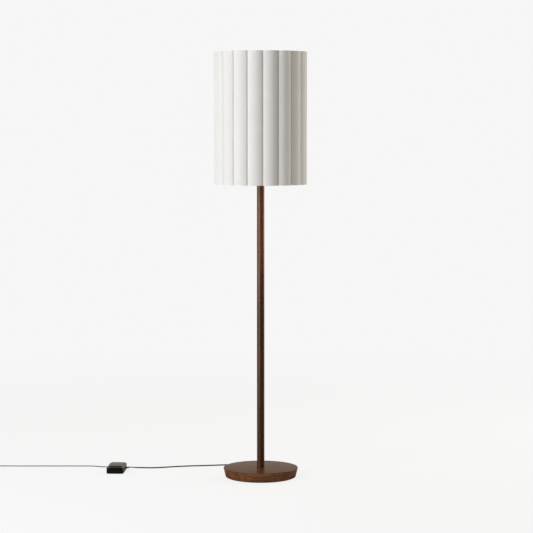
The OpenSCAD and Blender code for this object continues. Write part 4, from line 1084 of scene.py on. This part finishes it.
@dataclass
class Cords:
    """The flat twin cord: base to switch, switch to coil, coil and tail. Sizes in millimetres."""

    switch: FootSwitch
    width: float = 5.4
    thick: float = 2.7
    waist: float = 48.6
    exit_z: float = 9.5
    gland_tip: float = 151.486
    riser_bend: float = 7.0
    riser_top: float = 1207.6
    tie_lift: float = 0.8
    gap: float = 0.5
    coil_turns: float = 3.125
    coil_in: float = 23.5
    per_turn: int = 72
    wall_y: float = 212.0
    coil_x: float = -1022.0
    plug_y: float = 116.0
    plug_z: float = 7.2
    roll: float = 36.0
    roll_in: float = 60.0
    step: float = 3.0
    lamp: Optional[Length] = None
    wall: Optional[Length] = None

    @property
    def low(self) -> float:
        """Height of the lying cord's middle."""
        return self.thick / 2

    @property
    def coil_z(self) -> float:
        """Height of the coil's lower layer."""
        return self.low + self.tie_lift

    @property
    def coil_out(self) -> float:
        """Radius at which the coil's turns end outside."""
        return self.coil_in + (self.width + self.gap) * self.coil_turns

    @property
    def coil_c(self) -> tuple[float, float]:
        """Centre of the coil on the floor."""
        return self.coil_x, self.wall_y - self.coil_out

    @property
    def plug_back(self) -> Point:
        """Where the tail enters the plug."""
        return self.coil_x - self.coil_out, self.plug_y, self.plug_z

    def section(self) -> list[Corner]:
        """The two round cores with the web between them."""
        core, waist = self.thick / 2, self.waist
        return (arc(core, 0, core, waist - 180, 180 - waist, 10)
                + arc(-core, 0, core, waist, 360 - waist, 10))

    def lamp_route(self) -> list[Point]:
        """Lays out the cord from the base's strain relief to the switch.

        Returns:
            Points of its middle line.
        """
        low, tip = self.low, self.gland_tip
        lying = [
            (-25, 228), (-48, 235), (-76, 237.5), (-106.5, 235), (-141, 229.5), (-178, 221.8),
            (-215.5, 215), (-252.5, 209.5), (-289, 202), (-325, 191.5), (-350, 183), (-373, 175.5),
            (-396, 171), (-419, 170.4), (-440, 173.4),
        ]
        return [
            (0, tip, self.exit_z), (0, tip + 8.5, 9.2), (0, tip + 26.5, 7.4), (-1, 198, 4.6),
            (-9, 215, 2.4), *((x, y, low) for x, y in lying), (-455, 175.6, 1.6),
            (-466, 175.3, 2.6), (-475.5, 172.8, 3.8), (-481.8, 169.7, 4.6),
            self.switch.relief_tip(1),
        ]

    def wall_route(self) -> list[Point]:
        """Lays out the cord from the switch to the coil's first turn.

        Returns:
            Points of its middle line.
        """
        low, wall, top = self.low, self.wall_y, self.coil_z
        straight = (-655, -691, -736.5, -787, -837, -887.5, -933)
        return [
            self.switch.relief_tip(-1), (-565.2, 175.1, 4.6), (-571, 180.4, 3.8),
            (-578, 186.4, 2.6), (-586.5, 192.8, 1.6), (-598, 199.8, low), (-612, 205.8, low),
            (-630, 210, low),
            *((x, wall, low) for x in straight), (-975, wall, low + 0.3), (-1001, wall, top),
            (self.coil_c[0] + self.width, wall, top),
        ]

    def coil(self) -> list[Vector]:
        """Winds the coil: inwards on the floor, up a layer, then outwards.

        Returns:
            Points of its middle line.
        """
        cx, cy = self.coil_c
        points = [Vector((cx + self.width / 2, self.wall_y, self.coil_z))]
        for i in range(int(2 * self.coil_turns * self.per_turn) + 1):
            u = i / self.per_turn
            off = u - self.coil_turns
            a = math.radians(90 + 360 * u)
            r = self.coil_in + (self.width + self.gap) * abs(off)
            climb = (self.thick + self.gap) * min(1.0, max(0.0, off * 2 + 0.5))
            points.append(Vector((cx + r * math.cos(a), cy + r * math.sin(a), self.coil_z + climb)))
        return points

    def tail(self) -> list[Point]:
        """Lays out the cord from the coil's last turn to the plug.

        Returns:
            Points of its middle line.
        """
        back, lift = self.plug_back, self.coil_z + self.thick + self.gap
        x, y = back[0], self.coil_c[1] - self.width
        return [(x, y + self.width / 2, lift), (x, y, lift),
                (x, (y + back[1]) / 2, (lift + back[2]) / 2), back]

    def eased_up(self, route: Sequence[Point]) -> list[Vector]:
        """The smooth curve through a route, kept from sinking into the floor."""
        return [Vector((p.x, p.y, max(p.z, self.low))) for p in eased(route, self.step)]

    def rolled(self, path: Sequence[Vector]) -> list[float]:
        """Rolls a lying length part of the way onto its edge, level at both ends.

        Args:
            path: The length's middle line, whose heights it raises where needed.

        Returns:
            The roll at each point in degrees.
        """
        last, ends = len(path) - 1, self.roll_in / self.step
        rolls = [self.roll * min(1.0, i / ends, (last - i) / ends) for i in range(last + 1)]
        for point, roll in zip(path, rolls):
            point.z = max(point.z, self.low * (1 + math.sin(math.radians(roll))))
        return rolls

    def tube(self, name: str, path: Sequence[Vector], nodes: Sequence[str],
             level: Optional[Vector] = None, rolls: Sequence[float] = ()) -> Length:
        """Makes one length of cord.

        Args:
            name: The length's name.
            path: Its middle line in millimetres.
            nodes: The CAD nodes that it stands for.
            level: The direction across it, where that isn't simply level.
            rolls: How far it has rolled about itself at each point, in degrees.

        Returns:
            The length and its path in metres.
        """
        points = [p * MM for p in path]
        form = Form(name)
        form.sweep(points, self.section(), level, rolls)
        return form.done(Finishes.VINYL, Body.LAMP, nodes, 50), points

    def declare(self, piece: bpy.types.Object, points: Sequence[Vector], far_end: str, lay: str,
                others: Sequence[str]) -> None:
        """Logs how long a free length of cord is.

        Args:
            piece: The length.
            points: Its middle line in metres.
            far_end: What its far end is fixed to; not used.
            lay: How it lies; not used.
            others: The pieces on it; not used.
        """
        length = sum((b - a).length for a, b in zip(points, points[1:]))
        log.info("%s is %.3f m long", piece.name, length)

    def riser(self) -> None:
        """Lays the cord's hidden length through the base and up the pole."""
        bend, low = self.riser_bend, self.exit_z
        turn = [(0, bend + y, low + bend + z) for y, z in arc(0, 0, bend, -90, -180, 8)]
        path = [(0, self.gland_tip, low), (0, 60, low), *turn, (0, 0, 600), (0, 0, self.riser_top)]
        self.tube("cord_in_pole", [Vector(p) for p in path], ["riser_cord"], Vector((1, 0, 0)))

    def build(self) -> None:
        """Lays both free lengths and the hidden one."""
        route = self.eased_up(self.lamp_route())
        self.lamp = self.tube("cord_to_lamp", route, ["cord_lamp"], rolls=self.rolled(route))
        path = self.eased_up(self.wall_route()) + self.coil() + eased(self.tail(), self.step)
        self.wall = self.tube("cord_to_plug", path, ["cord_wall", "cord_coil", "cord_tail"])
        self.riser()

    def declare_free(self) -> None:
        """Logs how long both free lengths are, once the pieces on them are made."""
        self.declare(*self.lamp, "fitting", "loose", ["switch_reliefs_ribbed"])
        self.declare(*self.wall, "plug", "coiled", ["plug_moulded", "plug_blades", "coil_band"])


@dataclass
class Base:
    """The turned wooden base with its felt and strain relief. Sizes in millimetres."""

    radius: float = 134.4
    foot: float = 126.0
    felt: float = 2.4
    felt_r: float = 120.0
    top: float = 35.8
    recess_r: float = 95.5
    recess_z: float = 24.5
    exit_z: float = 9.5
    gland_y: float = 125.486
    gland_in: float = 24.986
    flange: float = 2.0
    flange_r: float = 5.8
    tail: float = 24.0
    tail_r: tuple[float, float] = (4.7, 3.6)
    grooves: int = 4
    groove: float = 0.35

    def wood(self) -> None:
        """Turns the base with its rounded edges and the hollow for the weight."""
        turn_piece("base_wood", "base_disc", Finishes.BASE, [
            (0, self.recess_z), (self.recess_r, self.recess_z), (self.recess_r, self.felt),
            (self.foot, self.felt, 1.4), (self.radius, self.top, 2.6), (0, self.top)], 160)

    def pad(self) -> None:
        """Presses the felt under the base."""
        turn_piece("base_felt", "base_pad", Finishes.FELT, [
            (0, 0.05), (self.felt_r, 0.05, 0.8), (self.felt_r, self.felt, 0.4),
            (0, self.felt)], 128)

    def gland(self) -> None:
        """Moulds the strain relief with its flange and ribbed, tapered tail."""
        (r0, r1), root = self.tail_r, self.gland_in + self.flange
        corners = [(0, 0), (r0, 0, 0.4), (r0, self.gland_in), (self.flange_r, self.gland_in, 0.3),
                   (self.flange_r, root, 0.5), (r0, root)]
        for i in range(1, self.grooves + 1):
            for along, inset in ((-2, 0.0), (-1.85, self.groove), (-1.15, self.groove), (-1, 0.0)):
                t = (self.tail - 4) / self.grooves * i + along
                corners.append((r0 + (r1 - r0) * t / self.tail - inset, root + t))
        corners += [(r1, root + self.tail, 0.5), (0, root + self.tail)]
        place = placed(0, self.gland_y - self.gland_in, self.exit_z, -90, "X")
        turn_piece("cord_gland_rubber", "cord_gland", Finishes.BAKED, corners, 48, axis=place)

    def build(self) -> None:
        """Makes the base's pieces."""
        self.wood()
        self.pad()
        self.gland()


@dataclass
class Pole:
    """The two lengths of turned pole and its cap. Sizes in millimetres."""

    radius: float = 13.5
    foot_z: float = 32.8
    joint_z: float = 634.5
    top_z: float = 1185.0
    saddle_z: float = 1195.0
    bore: float = 5.3
    foot_cut: float = 0.2
    joint_cut: float = 0.7
    top_cut: float = 0.3
    lip: float = 2.0
    neck: float = 8.5

    def lengths(self) -> None:
        """Turns the two lengths, with a chamfer at either end of each."""
        for name, look, low, high, low_cut, high_cut in (
                ("pole_lower", Finishes.POLE_LOWER, self.foot_z, self.joint_z, self.foot_cut,
                 self.joint_cut),
                ("pole_upper", Finishes.POLE_UPPER, self.joint_z, self.top_z, self.joint_cut,
                 self.top_cut)):
            turn_piece(name + "_wood", name, look, [
                (self.bore, low), (self.radius - low_cut, low), (self.radius, low + low_cut),
                (self.radius, high - high_cut), (self.radius - high_cut, high), (self.bore, high),
                (self.bore, low)])

    def cap(self) -> None:
        """Turns the hollow-necked bronze cap."""
        z, hollow = self.top_z, self.radius - self.neck
        sweep = arc(self.radius, z + self.lip + hollow, hollow, -90, -180, 10)
        turn_piece("pole_bronze_cap", "pole_cap", Finishes.BRONZE, [
            (self.bore, z), (self.radius, z, 0.4), (self.radius, z + self.lip, 0.3), *sweep[1:],
            (self.neck, self.saddle_z, 0.3), (self.bore, self.saddle_z), (self.bore, z)])

    def build(self) -> None:
        """Makes the pole's pieces."""
        self.lengths()
        self.cap()


@dataclass
class Harp:
    """The harp with its saddle, sleeves and stud. Sizes in millimetres."""

    saddle_z: float = 1195.0
    seat_z: float = 1500.0
    leg_x: float = 31.0
    bend: float = 30.0
    lean: float = 25.0
    crown: float = 10.0
    wire: float = 2.0
    strip: float = 1.6
    width: float = 12.0
    peg_z: float = 1209.0
    peg_h: float = 8.0
    peg_r: float = 4.0
    block_h: float = 8.5
    block_r: float = 6.0
    stud_r: float = 3.1
    stud_h: float = 13.0
    pitch: float = 0.94
    sleeve: float = 14.0
    travel: float = 12.0

    def line(self) -> list[Vector]:
        """Bends the wire's middle line.

        Returns:
            Points from the right leg over the crown to the left leg, in metres.
        """
        straight = self.peg_z + self.sleeve + self.travel + 2
        top, bend = self.seat_z - self.block_h / 2, self.bend
        out, inwards = math.radians(self.lean), math.radians(self.crown)
        rise = top - straight - bend * math.sin(out)
        side = self.leg_x + bend * (1 - math.cos(out))
        a, b = math.sin(out) + math.sin(inwards), math.cos(inwards) - math.cos(out)
        bow = (rise * math.cos(inwards) - side * (1 - math.sin(inwards))) / (
            a * math.cos(inwards) + b * (1 - math.sin(inwards)))
        crown = (side + bow * b) / math.cos(inwards)
        bow_x, bow_z = side - bow * math.cos(out), straight + (bend + bow) * math.sin(out)
        half = [(self.leg_x, self.peg_z + self.peg_h),
                *arc(self.leg_x + bend, straight, bend, 180, 180 - self.lean, 8),
                *arc(bow_x, bow_z, bow, -self.lean, self.crown, 24)[1:],
                *arc(0, top - crown, crown, self.crown, 90, 20)[1:]]
        line = half + [(-x, z) for x, z in reversed(half[:-1])]
        return [Vector((x * MM, 0, z * MM)) for x, z in line]

    def wirework(self) -> None:
        """Bends the harp's wire."""
        form = Form("harp_bow")
        form.sweep(self.line(), arc(0, 0, self.wire, 0, 337.5, 15), Vector((0, 1, 0)))
        form.done(Finishes.BRASS, Body.LAMP, ["harp_wire"], 60)

    def saddle(self) -> None:
        """Folds the saddle's strip up at both ends and sets its pegs."""
        form = Form("harp_saddle_strip")
        z, peg, top = self.saddle_z, self.peg_z, self.saddle_z + self.strip
        outer, inner = self.leg_x + self.strip / 2, self.leg_x - self.strip / 2
        outline = [(-outer, peg), (-outer, z, 1.8), (outer, z, 1.8), (outer, peg),
                   (inner, peg), (inner, top, 0.5), (-inner, top, 0.5), (-inner, peg)]
        form.slab(placed(0, self.width / 2, 0, 90, "X"), outline, 0, self.width)
        for x in (-self.leg_x, self.leg_x):
            form.lathe([(0, peg - 4), (self.peg_r, peg - 4, 0.4), (self.peg_r, peg, 0.3),
                        (self.wire, peg), (self.wire, peg + self.peg_h), (0, peg + self.peg_h)],
                       32, placed(x, 0, 0))
        form.done(Finishes.BRASS, Body.LAMP, ["harp_saddle"])

    def sleeves(self) -> None:
        """Turns the two lock sleeves."""
        bore, rim, waist = 2.3, 4, 3.6
        low, high = self.peg_z, self.peg_z + self.sleeve
        corners = [(bore, low), (rim, low, 0.5), (rim, low + 3, 0.2), (waist, low + 3.6),
                   (waist, high - 3.6), (rim, high - 3, 0.2), (rim, high, 0.5), (bore, high),
                   (bore, low)]
        for x, body in ((-self.leg_x, Body.SLEEVE_LEFT), (self.leg_x, Body.SLEEVE_RIGHT)):
            turn_piece(body.value + "_turned", body.value, Finishes.BRASS, corners, 40, body,
                       placed(x, 0, 0))

    def stud(self) -> None:
        """Turns the swivel block with its threaded stud."""
        low, seat, r = self.seat_z - self.block_h, self.seat_z, self.stud_r
        corners = [(0, low), (self.block_r, low, 0.8), (self.block_r, seat, 0.4), (r - 0.3, seat)]
        for i in range(13):
            z = seat + i * self.pitch
            corners += [(r - 0.3, z + 0.6), (r, z + 1.07)]
        corners += [(r - 0.5, seat + self.stud_h), (0, seat + self.stud_h)]
        turn_piece("harp_stud_turned", "harp_stud", Finishes.BRASS, corners, 40)

    def build(self) -> None:
        """Makes the harp's pieces."""
        self.wirework()
        self.saddle()
        self.sleeves()
        self.stud()


@dataclass
class BulbSocket:
    """The screw socket and the bulb in it. Sizes in millimetres."""

    low: float = 1196.6
    cap_r: float = 17.8
    bore: float = 5.05
    shell_z: float = 1216.6
    shell_r: float = 16.9
    shell_h: float = 45.0
    sheet: float = 0.8
    bulb_z: float = 1236.6
    bulb_r: float = 30.0
    neck_r: float = 13.7
    collar_r: float = 24.0
    dome_top: float = 1344.6

    def cap(self) -> None:
        """Spins the socket's cap over the end of the pipe."""
        rim, z, sheet, bore = self.cap_r, self.low, self.sheet, self.bore
        outside = arc(8, z + 14.8, 9.8, -90, 0, 12)
        inside = arc(8, z + 14.8, 9.8 - sheet, 0, -90, 12)
        turn_piece("socket_cap_spun", "socket_cap", Finishes.BRASS, [
            (bore, z), (8, z, 0.3), *outside, (rim + 0.3, z + 24), (rim + 0.3, z + 25.6),
            (rim - 0.1, z + 26), (rim - sheet, z + 26), *inside, (bore, z + 5.8), (bore, z)], 80)

    def shell(self) -> None:
        """Rolls the socket's shell with its two beads."""
        z, r, top = self.shell_z, self.shell_r, self.shell_z + self.shell_h
        inner = r - self.sheet
        beads = [(r + out, bead + up) for bead in (z + 14, top - 6)
                 for out, up in ((0, -1.2), (0.5, -0.5), (0.5, 0.5), (0, 1.2))]
        turn_piece("socket_shell_rolled", "socket_shell", Finishes.BRASS, [
            (inner, z), (r, z), *beads, (r, top, 0.3), (inner, top, 0.3), (inner, z)], 80)

    def bulb_foot(self) -> None:
        """Makes the bulb's contact, insulator and screw cap."""
        z = self.bulb_z
        turn_piece("bulb_contact_button", "bulb_contact", Finishes.STEEL, [
            (0, z), (3.4, z, 0.5), (4.7, z + 2.4), (0, z + 2.4)], 40, Body.BULB_SEAT)
        turn_piece("bulb_glass_ring", "bulb_insulator", Finishes.BAKED, [
            (0, z + 2.4), (5.2, z + 2.4), (12.3, z + 6), (0, z + 6)], 48, Body.BULB)
        thread = [(12.85 - 0.25 * math.cos(FULL * i / 10), z + 6 + 3.63 * i / 10)
                  for i in range(51)]
        turn_piece("bulb_screw_cap", "bulb_cap", Finishes.STEEL, [
            (11.8, z + 6), *thread, (12.6, z + 26), (11.8, z + 26), (11.8, z + 6)], 64, Body.BULB)

    def bulb(self) -> None:
        """Makes the bulb's collar and frosted dome."""
        neck, wide, low, high = self.neck_r, self.collar_r, self.bulb_z + 26, self.bulb_z + 52
        flare = [(neck + (wide - neck) * (1 - math.cos(math.pi * i / 16)) / 2,
                  low + (high - low) * i / 16) for i in range(1, 17)]
        turn_piece("bulb_collar_moulded", "bulb_collar", Finishes.COLLAR, [
            (0, low), (neck, low, 0.4), *flare, (0, high)], 72, Body.BULB)
        widest = self.dome_top - self.bulb_r
        side = [(wide + (self.bulb_r - wide) * math.sin(math.pi / 2 * i / 12),
                 high + (widest - high) * i / 12) for i in range(12)]
        dome = arc(0, widest, self.bulb_r, 0, 90, 24)
        turn_piece("bulb_frosted_dome", "bulb_dome", Finishes.FROST, [
            (0, high), (wide - 0.3, high), *side, *dome], 72, Body.BULB, sharp=60)

    def build(self) -> None:
        """Makes the socket's outer pieces and the bulb."""
        self.cap()
        self.shell()
        self.bulb_foot()
        self.bulb()


@dataclass
class Shade:
    """The scalloped drum shade on its wire frame, with its finial. Sizes in millimetres."""

    lobes: int = 18
    turn: float = 3.1
    centre: float = 121.4
    lobe: float = 43.7
    low: float = 1055.0
    high: float = 1525.0
    cloth: float = 1.6
    ring_wire: float = 1.75
    rib: float = 1.2
    ring_inset: float = 4.0
    seat_z: float = 1500.0
    hub: float = 11.0
    arm: float = 2.0
    arm_bend: float = 112.0
    arms: int = 3
    bore: float = 3.5
    crease: float = 2.2
    crease_w: float = 5.0
    skin: float = 0.9
    steps: int = 22
    rows: int = 30
    laps: int = 90

    @property
    def half(self) -> float:
        """Half the angle that a scallop takes."""
        return math.pi / self.lobes

    @property
    def start(self) -> float:
        """The angle at which the first scallop begins."""
        return math.radians(self.turn - 90)

    @property
    def rib_at(self) -> float:
        """Distance of the upright wires from the axis."""
        return self.reach(self.lobe - self.cloth - self.rib - 0.1)

    @property
    def ring_r(self) -> float:
        """Radius of the two rings."""
        return self.rib_at - self.rib - self.ring_wire - 0.02

    def reach(self, r: float) -> float:
        """Distance from the axis to where neighbouring scallops of radius r meet."""
        across = self.centre * math.sin(self.half)
        return self.centre * math.cos(self.half) + math.sqrt(r * r - across ** 2)

    def fabric(self) -> None:
        """Draws the scalloped cloth up from its lower rim and gives it thickness and weave."""
        form = Form("shade_fabric")
        bm, meet = form.bm, self.reach(self.lobe)
        spread = math.atan2(meet * math.sin(self.half), meet * math.cos(self.half) - self.centre)
        verts = []
        for i in range(self.lobes):
            turn = Matrix.Rotation(self.start + 2 * self.half * (i + 0.5), 3, "Z")
            for k in range(self.steps):
                t = spread * math.sin(math.pi * (k / self.steps - 0.5))
                edge = self.lobe * (spread - abs(t))
                r = self.lobe - self.crease * max(0.0, 1 - edge / self.crease_w) ** 2
                at = Vector((self.centre + r * math.cos(t), r * math.sin(t), self.low))
                verts.append(bm.verts.new((turn @ at) * MM))
        edges = [bm.edges.new((p, q)) for p, q in zip(verts, verts[1:] + verts[:1])]
        tall = (self.high - self.low) / self.rows
        for _ in range(self.rows):
            edges, verts = form.grow(edges)
            bmesh.ops.translate(bm, vec=(0, 0, tall * MM), verts=verts)
        bmesh.ops.recalc_face_normals(bm, faces=bm.faces)
        self.settle(bm)
        bmesh.ops.solidify(bm, geom=bm.faces[:], thickness=self.skin * MM)
        self.weave(bm)
        form.done(Finishes.LINEN, Body.SHADE, ["shade_panels"], 50)

    def settle(self, bm: bmesh.types.BMesh) -> None:
        """Lets each scallop's cloth draw in a little at mid-height and ripple faintly.

        Args:
            bm: The cloth's mesh, still without its thickness.
        """
        for v in bm.verts:
            a = math.atan2(v.co.y, v.co.x)
            up = (v.co.z / MM - self.low) / (self.high - self.low)
            crest = 0.5 + 0.5 * math.cos(self.lobes * (a - self.start) + math.pi)
            slack = math.sin(math.pi * up) * crest * (0.25 + 0.2 * math.sin(5 * a + 7 * up))
            v.co.xy *= 1 - slack * MM / v.co.xy.length

    def weave(self, bm: bmesh.types.BMesh) -> None:
        """Writes the cloth's own coordinates, in metres, to its UV map.

        Args:
            bm: The cloth's mesh.
        """
        layer = bm.loops.layers.uv.new(CLOTH_MAP)
        for face in bm.faces:
            c = face.calc_center_median()
            lobe = math.floor(((math.atan2(c.y, c.x) - self.start) % FULL) / (2 * self.half))
            back = Matrix.Rotation(-self.start - 2 * self.half * (lobe + 0.5), 2)
            for loop in face.loops:
                flat = back @ loop.vert.co.xy
                s = math.atan2(flat.y, flat.x - self.centre * MM) * self.lobe * MM
                loop[layer].uv = (lobe * Finishes.LINEN.panel + s, loop.vert.co.z)

    def frame(self) -> None:
        """Bends the rings, winds their tape and stands the upright wires."""
        low, high = self.low + self.ring_inset, self.high - self.ring_inset
        for name, z in (("top", high), ("bottom", low)):
            form = Form(f"shade_{name}_ring_wire")
            form.ring(self.ring_r, z, self.ring_wire)
            form.done(Finishes.WIRE, Body.SHADE, [f"shade_{name}_ring"], 60)
            self.tape(name, z)
        form = Form("shade_rib_wires")
        for i in range(self.lobes):
            a = self.start + 2 * self.half * i
            x, y = self.rib_at * math.cos(a), self.rib_at * math.sin(a)
            form.rod((x, y, low), (x, y, high), self.rib, 10)
        form.done(Finishes.WIRE, Body.SHADE, ["shade_ribs"], 60)
        self.spider(high)

    def spider(self, ring_z: float) -> None:
        """Bends the spider's arms from its hub up to the top ring.

        Args:
            ring_z: Height of the top ring.
        """
        form = Form("shade_spider_wire")
        z, hub, bend, bore = self.seat_z, self.hub, self.arm_bend, self.bore
        line = [(hub - 3, 0, z + 1), (60, 0, z + 1), (bend - 14, 0, z + 1), (bend, 0, z + 2.2),
                (bend + 12, 0, z + 6.6), (self.ring_r - self.ring_wire, 0, ring_z - 0.5)]
        for i in range(self.arms):
            turn = Matrix.Rotation(math.radians(90 + 360 / self.arms * i), 3, "Z")
            path = [turn @ (p * MM) for p in eased(line, 4)]
            form.sweep(path, arc(0, 0, self.arm, 0, 330, 11))
        form.lathe([(bore, z), (hub, z, 0.6), (hub, z + 2, 0.6), (bore, z + 2), (bore, z)], 64)
        form.done(Finishes.WIRE, Body.SHADE, ["shade_spider"], 50)

    def tape(self, name: str, z: float) -> None:
        """Winds cloth tape over a ring, each turn lapping the last.

        Args:
            name: Which ring it is, top or bottom.
            z: The ring's height.
        """
        form = Form(f"shade_{name}_tape_wound")
        form.ring(self.ring_r, z, 2.1, 720, 12)
        layer = form.bm.loops.layers.uv.new(CLOTH_MAP)
        for v in form.bm.verts:
            a = math.atan2(v.co.y, v.co.x)
            outwards = Vector((math.cos(a), math.sin(a), 0))
            mid = (outwards * self.ring_r + UP * z) * MM
            out = v.co - mid
            lap = (self.laps * a / FULL - math.atan2(out.z, out.dot(outwards)) / FULL) % 1.0
            v.co = mid + out.normalized() * (1.95 + 0.35 * lap) * MM
        for face in form.bm.faces:
            for loop in face.loops:
                a = math.atan2(loop.vert.co.y, loop.vert.co.x)
                loop[layer].uv = (a * self.ring_r * MM, loop.vert.co.z * 3)
        form.done(Finishes.TAPE, Body.SHADE, [f"shade_{name}_tape"], 40)

    def finial(self) -> None:
        """Turns the finial and its washer."""
        bore, flange, z, up = self.bore, 8, self.seat_z + 2, self.seat_z + 3
        turn_piece("finial_washer_flat", "finial_washer", Finishes.BRASS, [
            (bore, z), (flange, z, 0.3), (flange, up, 0.3), (bore, up), (bore, z)], 48,
            Body.FINIAL_WASHER)
        ball = arc(0, up + 12.5, 7.5, -47, 90, 20)
        turn_piece("finial_turned", "finial", Finishes.BRASS, [
            (3.3, up + 11), (3.3, up), (flange, up, 0.8), (7.6, up + 2, 0.5), (5.4, up + 3.6, 0.6),
            (5.1, up + 6.2), *ball[:-1], (0, up + 20)], 64, Body.FINIAL)

    def build(self) -> None:
        """Makes the shade's pieces."""
        self.fabric()
        self.frame()
        self.finial()


@dataclass
class Plug:
    """The moulded plug and the band round the coil. Sizes in millimetres."""

    at: Point
    coil_at: tuple[float, float]
    neck: float = 20.0
    ribs: int = 4
    band_w: float = 10.0
    band_in: float = 22.13
    band_out: float = 41.99
    band_low: float = 0.35
    band_top: float = 7.3

    def moulded(self) -> None:
        """Moulds the plug with its ribbed neck and waisted grip."""
        form = Form("plug_moulded")
        stations = [(0, 6.6, 3.8), (0.4, 7, 4.2)]
        for i in range(self.ribs):
            z = 3 + 4 * i
            w, t = 6.8 + 4.2 * z / self.neck, 4 + 3.2 * z / self.neck
            for along, more in ((-0.9, -0.6), (-0.5, 0.5), (0.5, 0.6), (0.9, -0.3)):
                stations.append((z + along, w + more, t + more))
        grip = [(-1, 11, 7.4), (0, 15.2, 10), (2.5, 20.5, 11.4), (6, 24.2, 12), (12, 23.4, 11.4),
                (17, 22.8, 11.4), (25, 23.4, 13.4), (29, 24.2, 14.2), (33, 24.2, 14.2),
                (33.6, 23.6, 13.6), (34, 22.4, 12.4)]
        stations += [(self.neck + z, w, t) for z, w, t in grip]
        form.loft(placed(*self.at, 90, "X"), stations, 0.38)
        form.done(Finishes.BAKED, Body.LAMP, ["plug_body"], 30)

    def band(self) -> None:
        """Lays the woven band round the coil's turns."""
        form = Form("coil_band")
        bm, (cx, cy) = form.bm, self.coil_at
        near, far, low, top = self.band_in, self.band_out, self.band_low, self.band_top
        corners = [(-far, low, 1.0), (-near, low, 1.0), (-near, top, 1.0), (-far, top, 1.0)]
        stand = Matrix(((0, 0, -1, cx * MM), (1, 0, 0, cy * MM), (0, 1, 0, 0), (0, 0, 0, 1)))
        verts = form.grow(form.chain(corners, stand, True))[1]
        bmesh.ops.translate(bm, vec=(self.band_w * MM, 0, 0), verts=verts)
        bmesh.ops.translate(bm, vec=(-self.band_w / 2 * MM, 0, 0), verts=bm.verts[:])
        bmesh.ops.recalc_face_normals(bm, faces=bm.faces)
        bmesh.ops.solidify(bm, geom=bm.faces[:], thickness=0.5 * MM)
        form.done(Finishes.BAND, Body.LAMP, ["coil_tie"])

    def build(self) -> None:
        """Makes the plug and the coil's band."""
        self.moulded()
        self.band()


def dress_kept_nodes() -> None:
    """Gives the CAD nodes that stay in view their finishes."""
    looks = {
        Finishes.IRON: ["base_weight"],
        Finishes.STEEL: ["base_washer", "base_nut", "pipe_lower", "pipe_upper", "screw_shell",
                         "switch_screws", "switch_spring"],
        Finishes.BRASS: ["pipe_coupling", "socket_contact", "terminal_screws", "plug_blades"],
        Finishes.CARD: ["socket_liner"],
        Finishes.BAKED: ["socket_insulator"],
        Finishes.LEAD: ["socket_leads"],
        Finishes.VINYL: ["switch_leads"],
        Finishes.WORKS: ["switch_module"],
    }
    for look, names in looks.items():
        for name in names:
            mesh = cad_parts[name].data
            mesh.materials.clear()
            mesh.materials.append(look.material())
    log.info("dressed %d kept nodes", sum(map(len, looks.values())))


def main() -> None:
    """Builds the lamp's pieces and the studio round them."""
    logging.basicConfig(level=logging.INFO, format="%(name)s: %(message)s")
    studio = Studio()
    studio.camera()
    switch = FootSwitch()
    cords = Cords(switch)
    cords.build()
    plug = Plug(cords.plug_back, cords.coil_c)
    for part in (Base(), Pole(), Harp(), BulbSocket(), Shade(), switch, plug):
        part.build()
    cords.declare_free()
    dress_kept_nodes()
    studio.build()


if __name__ == "__main__":
    main()
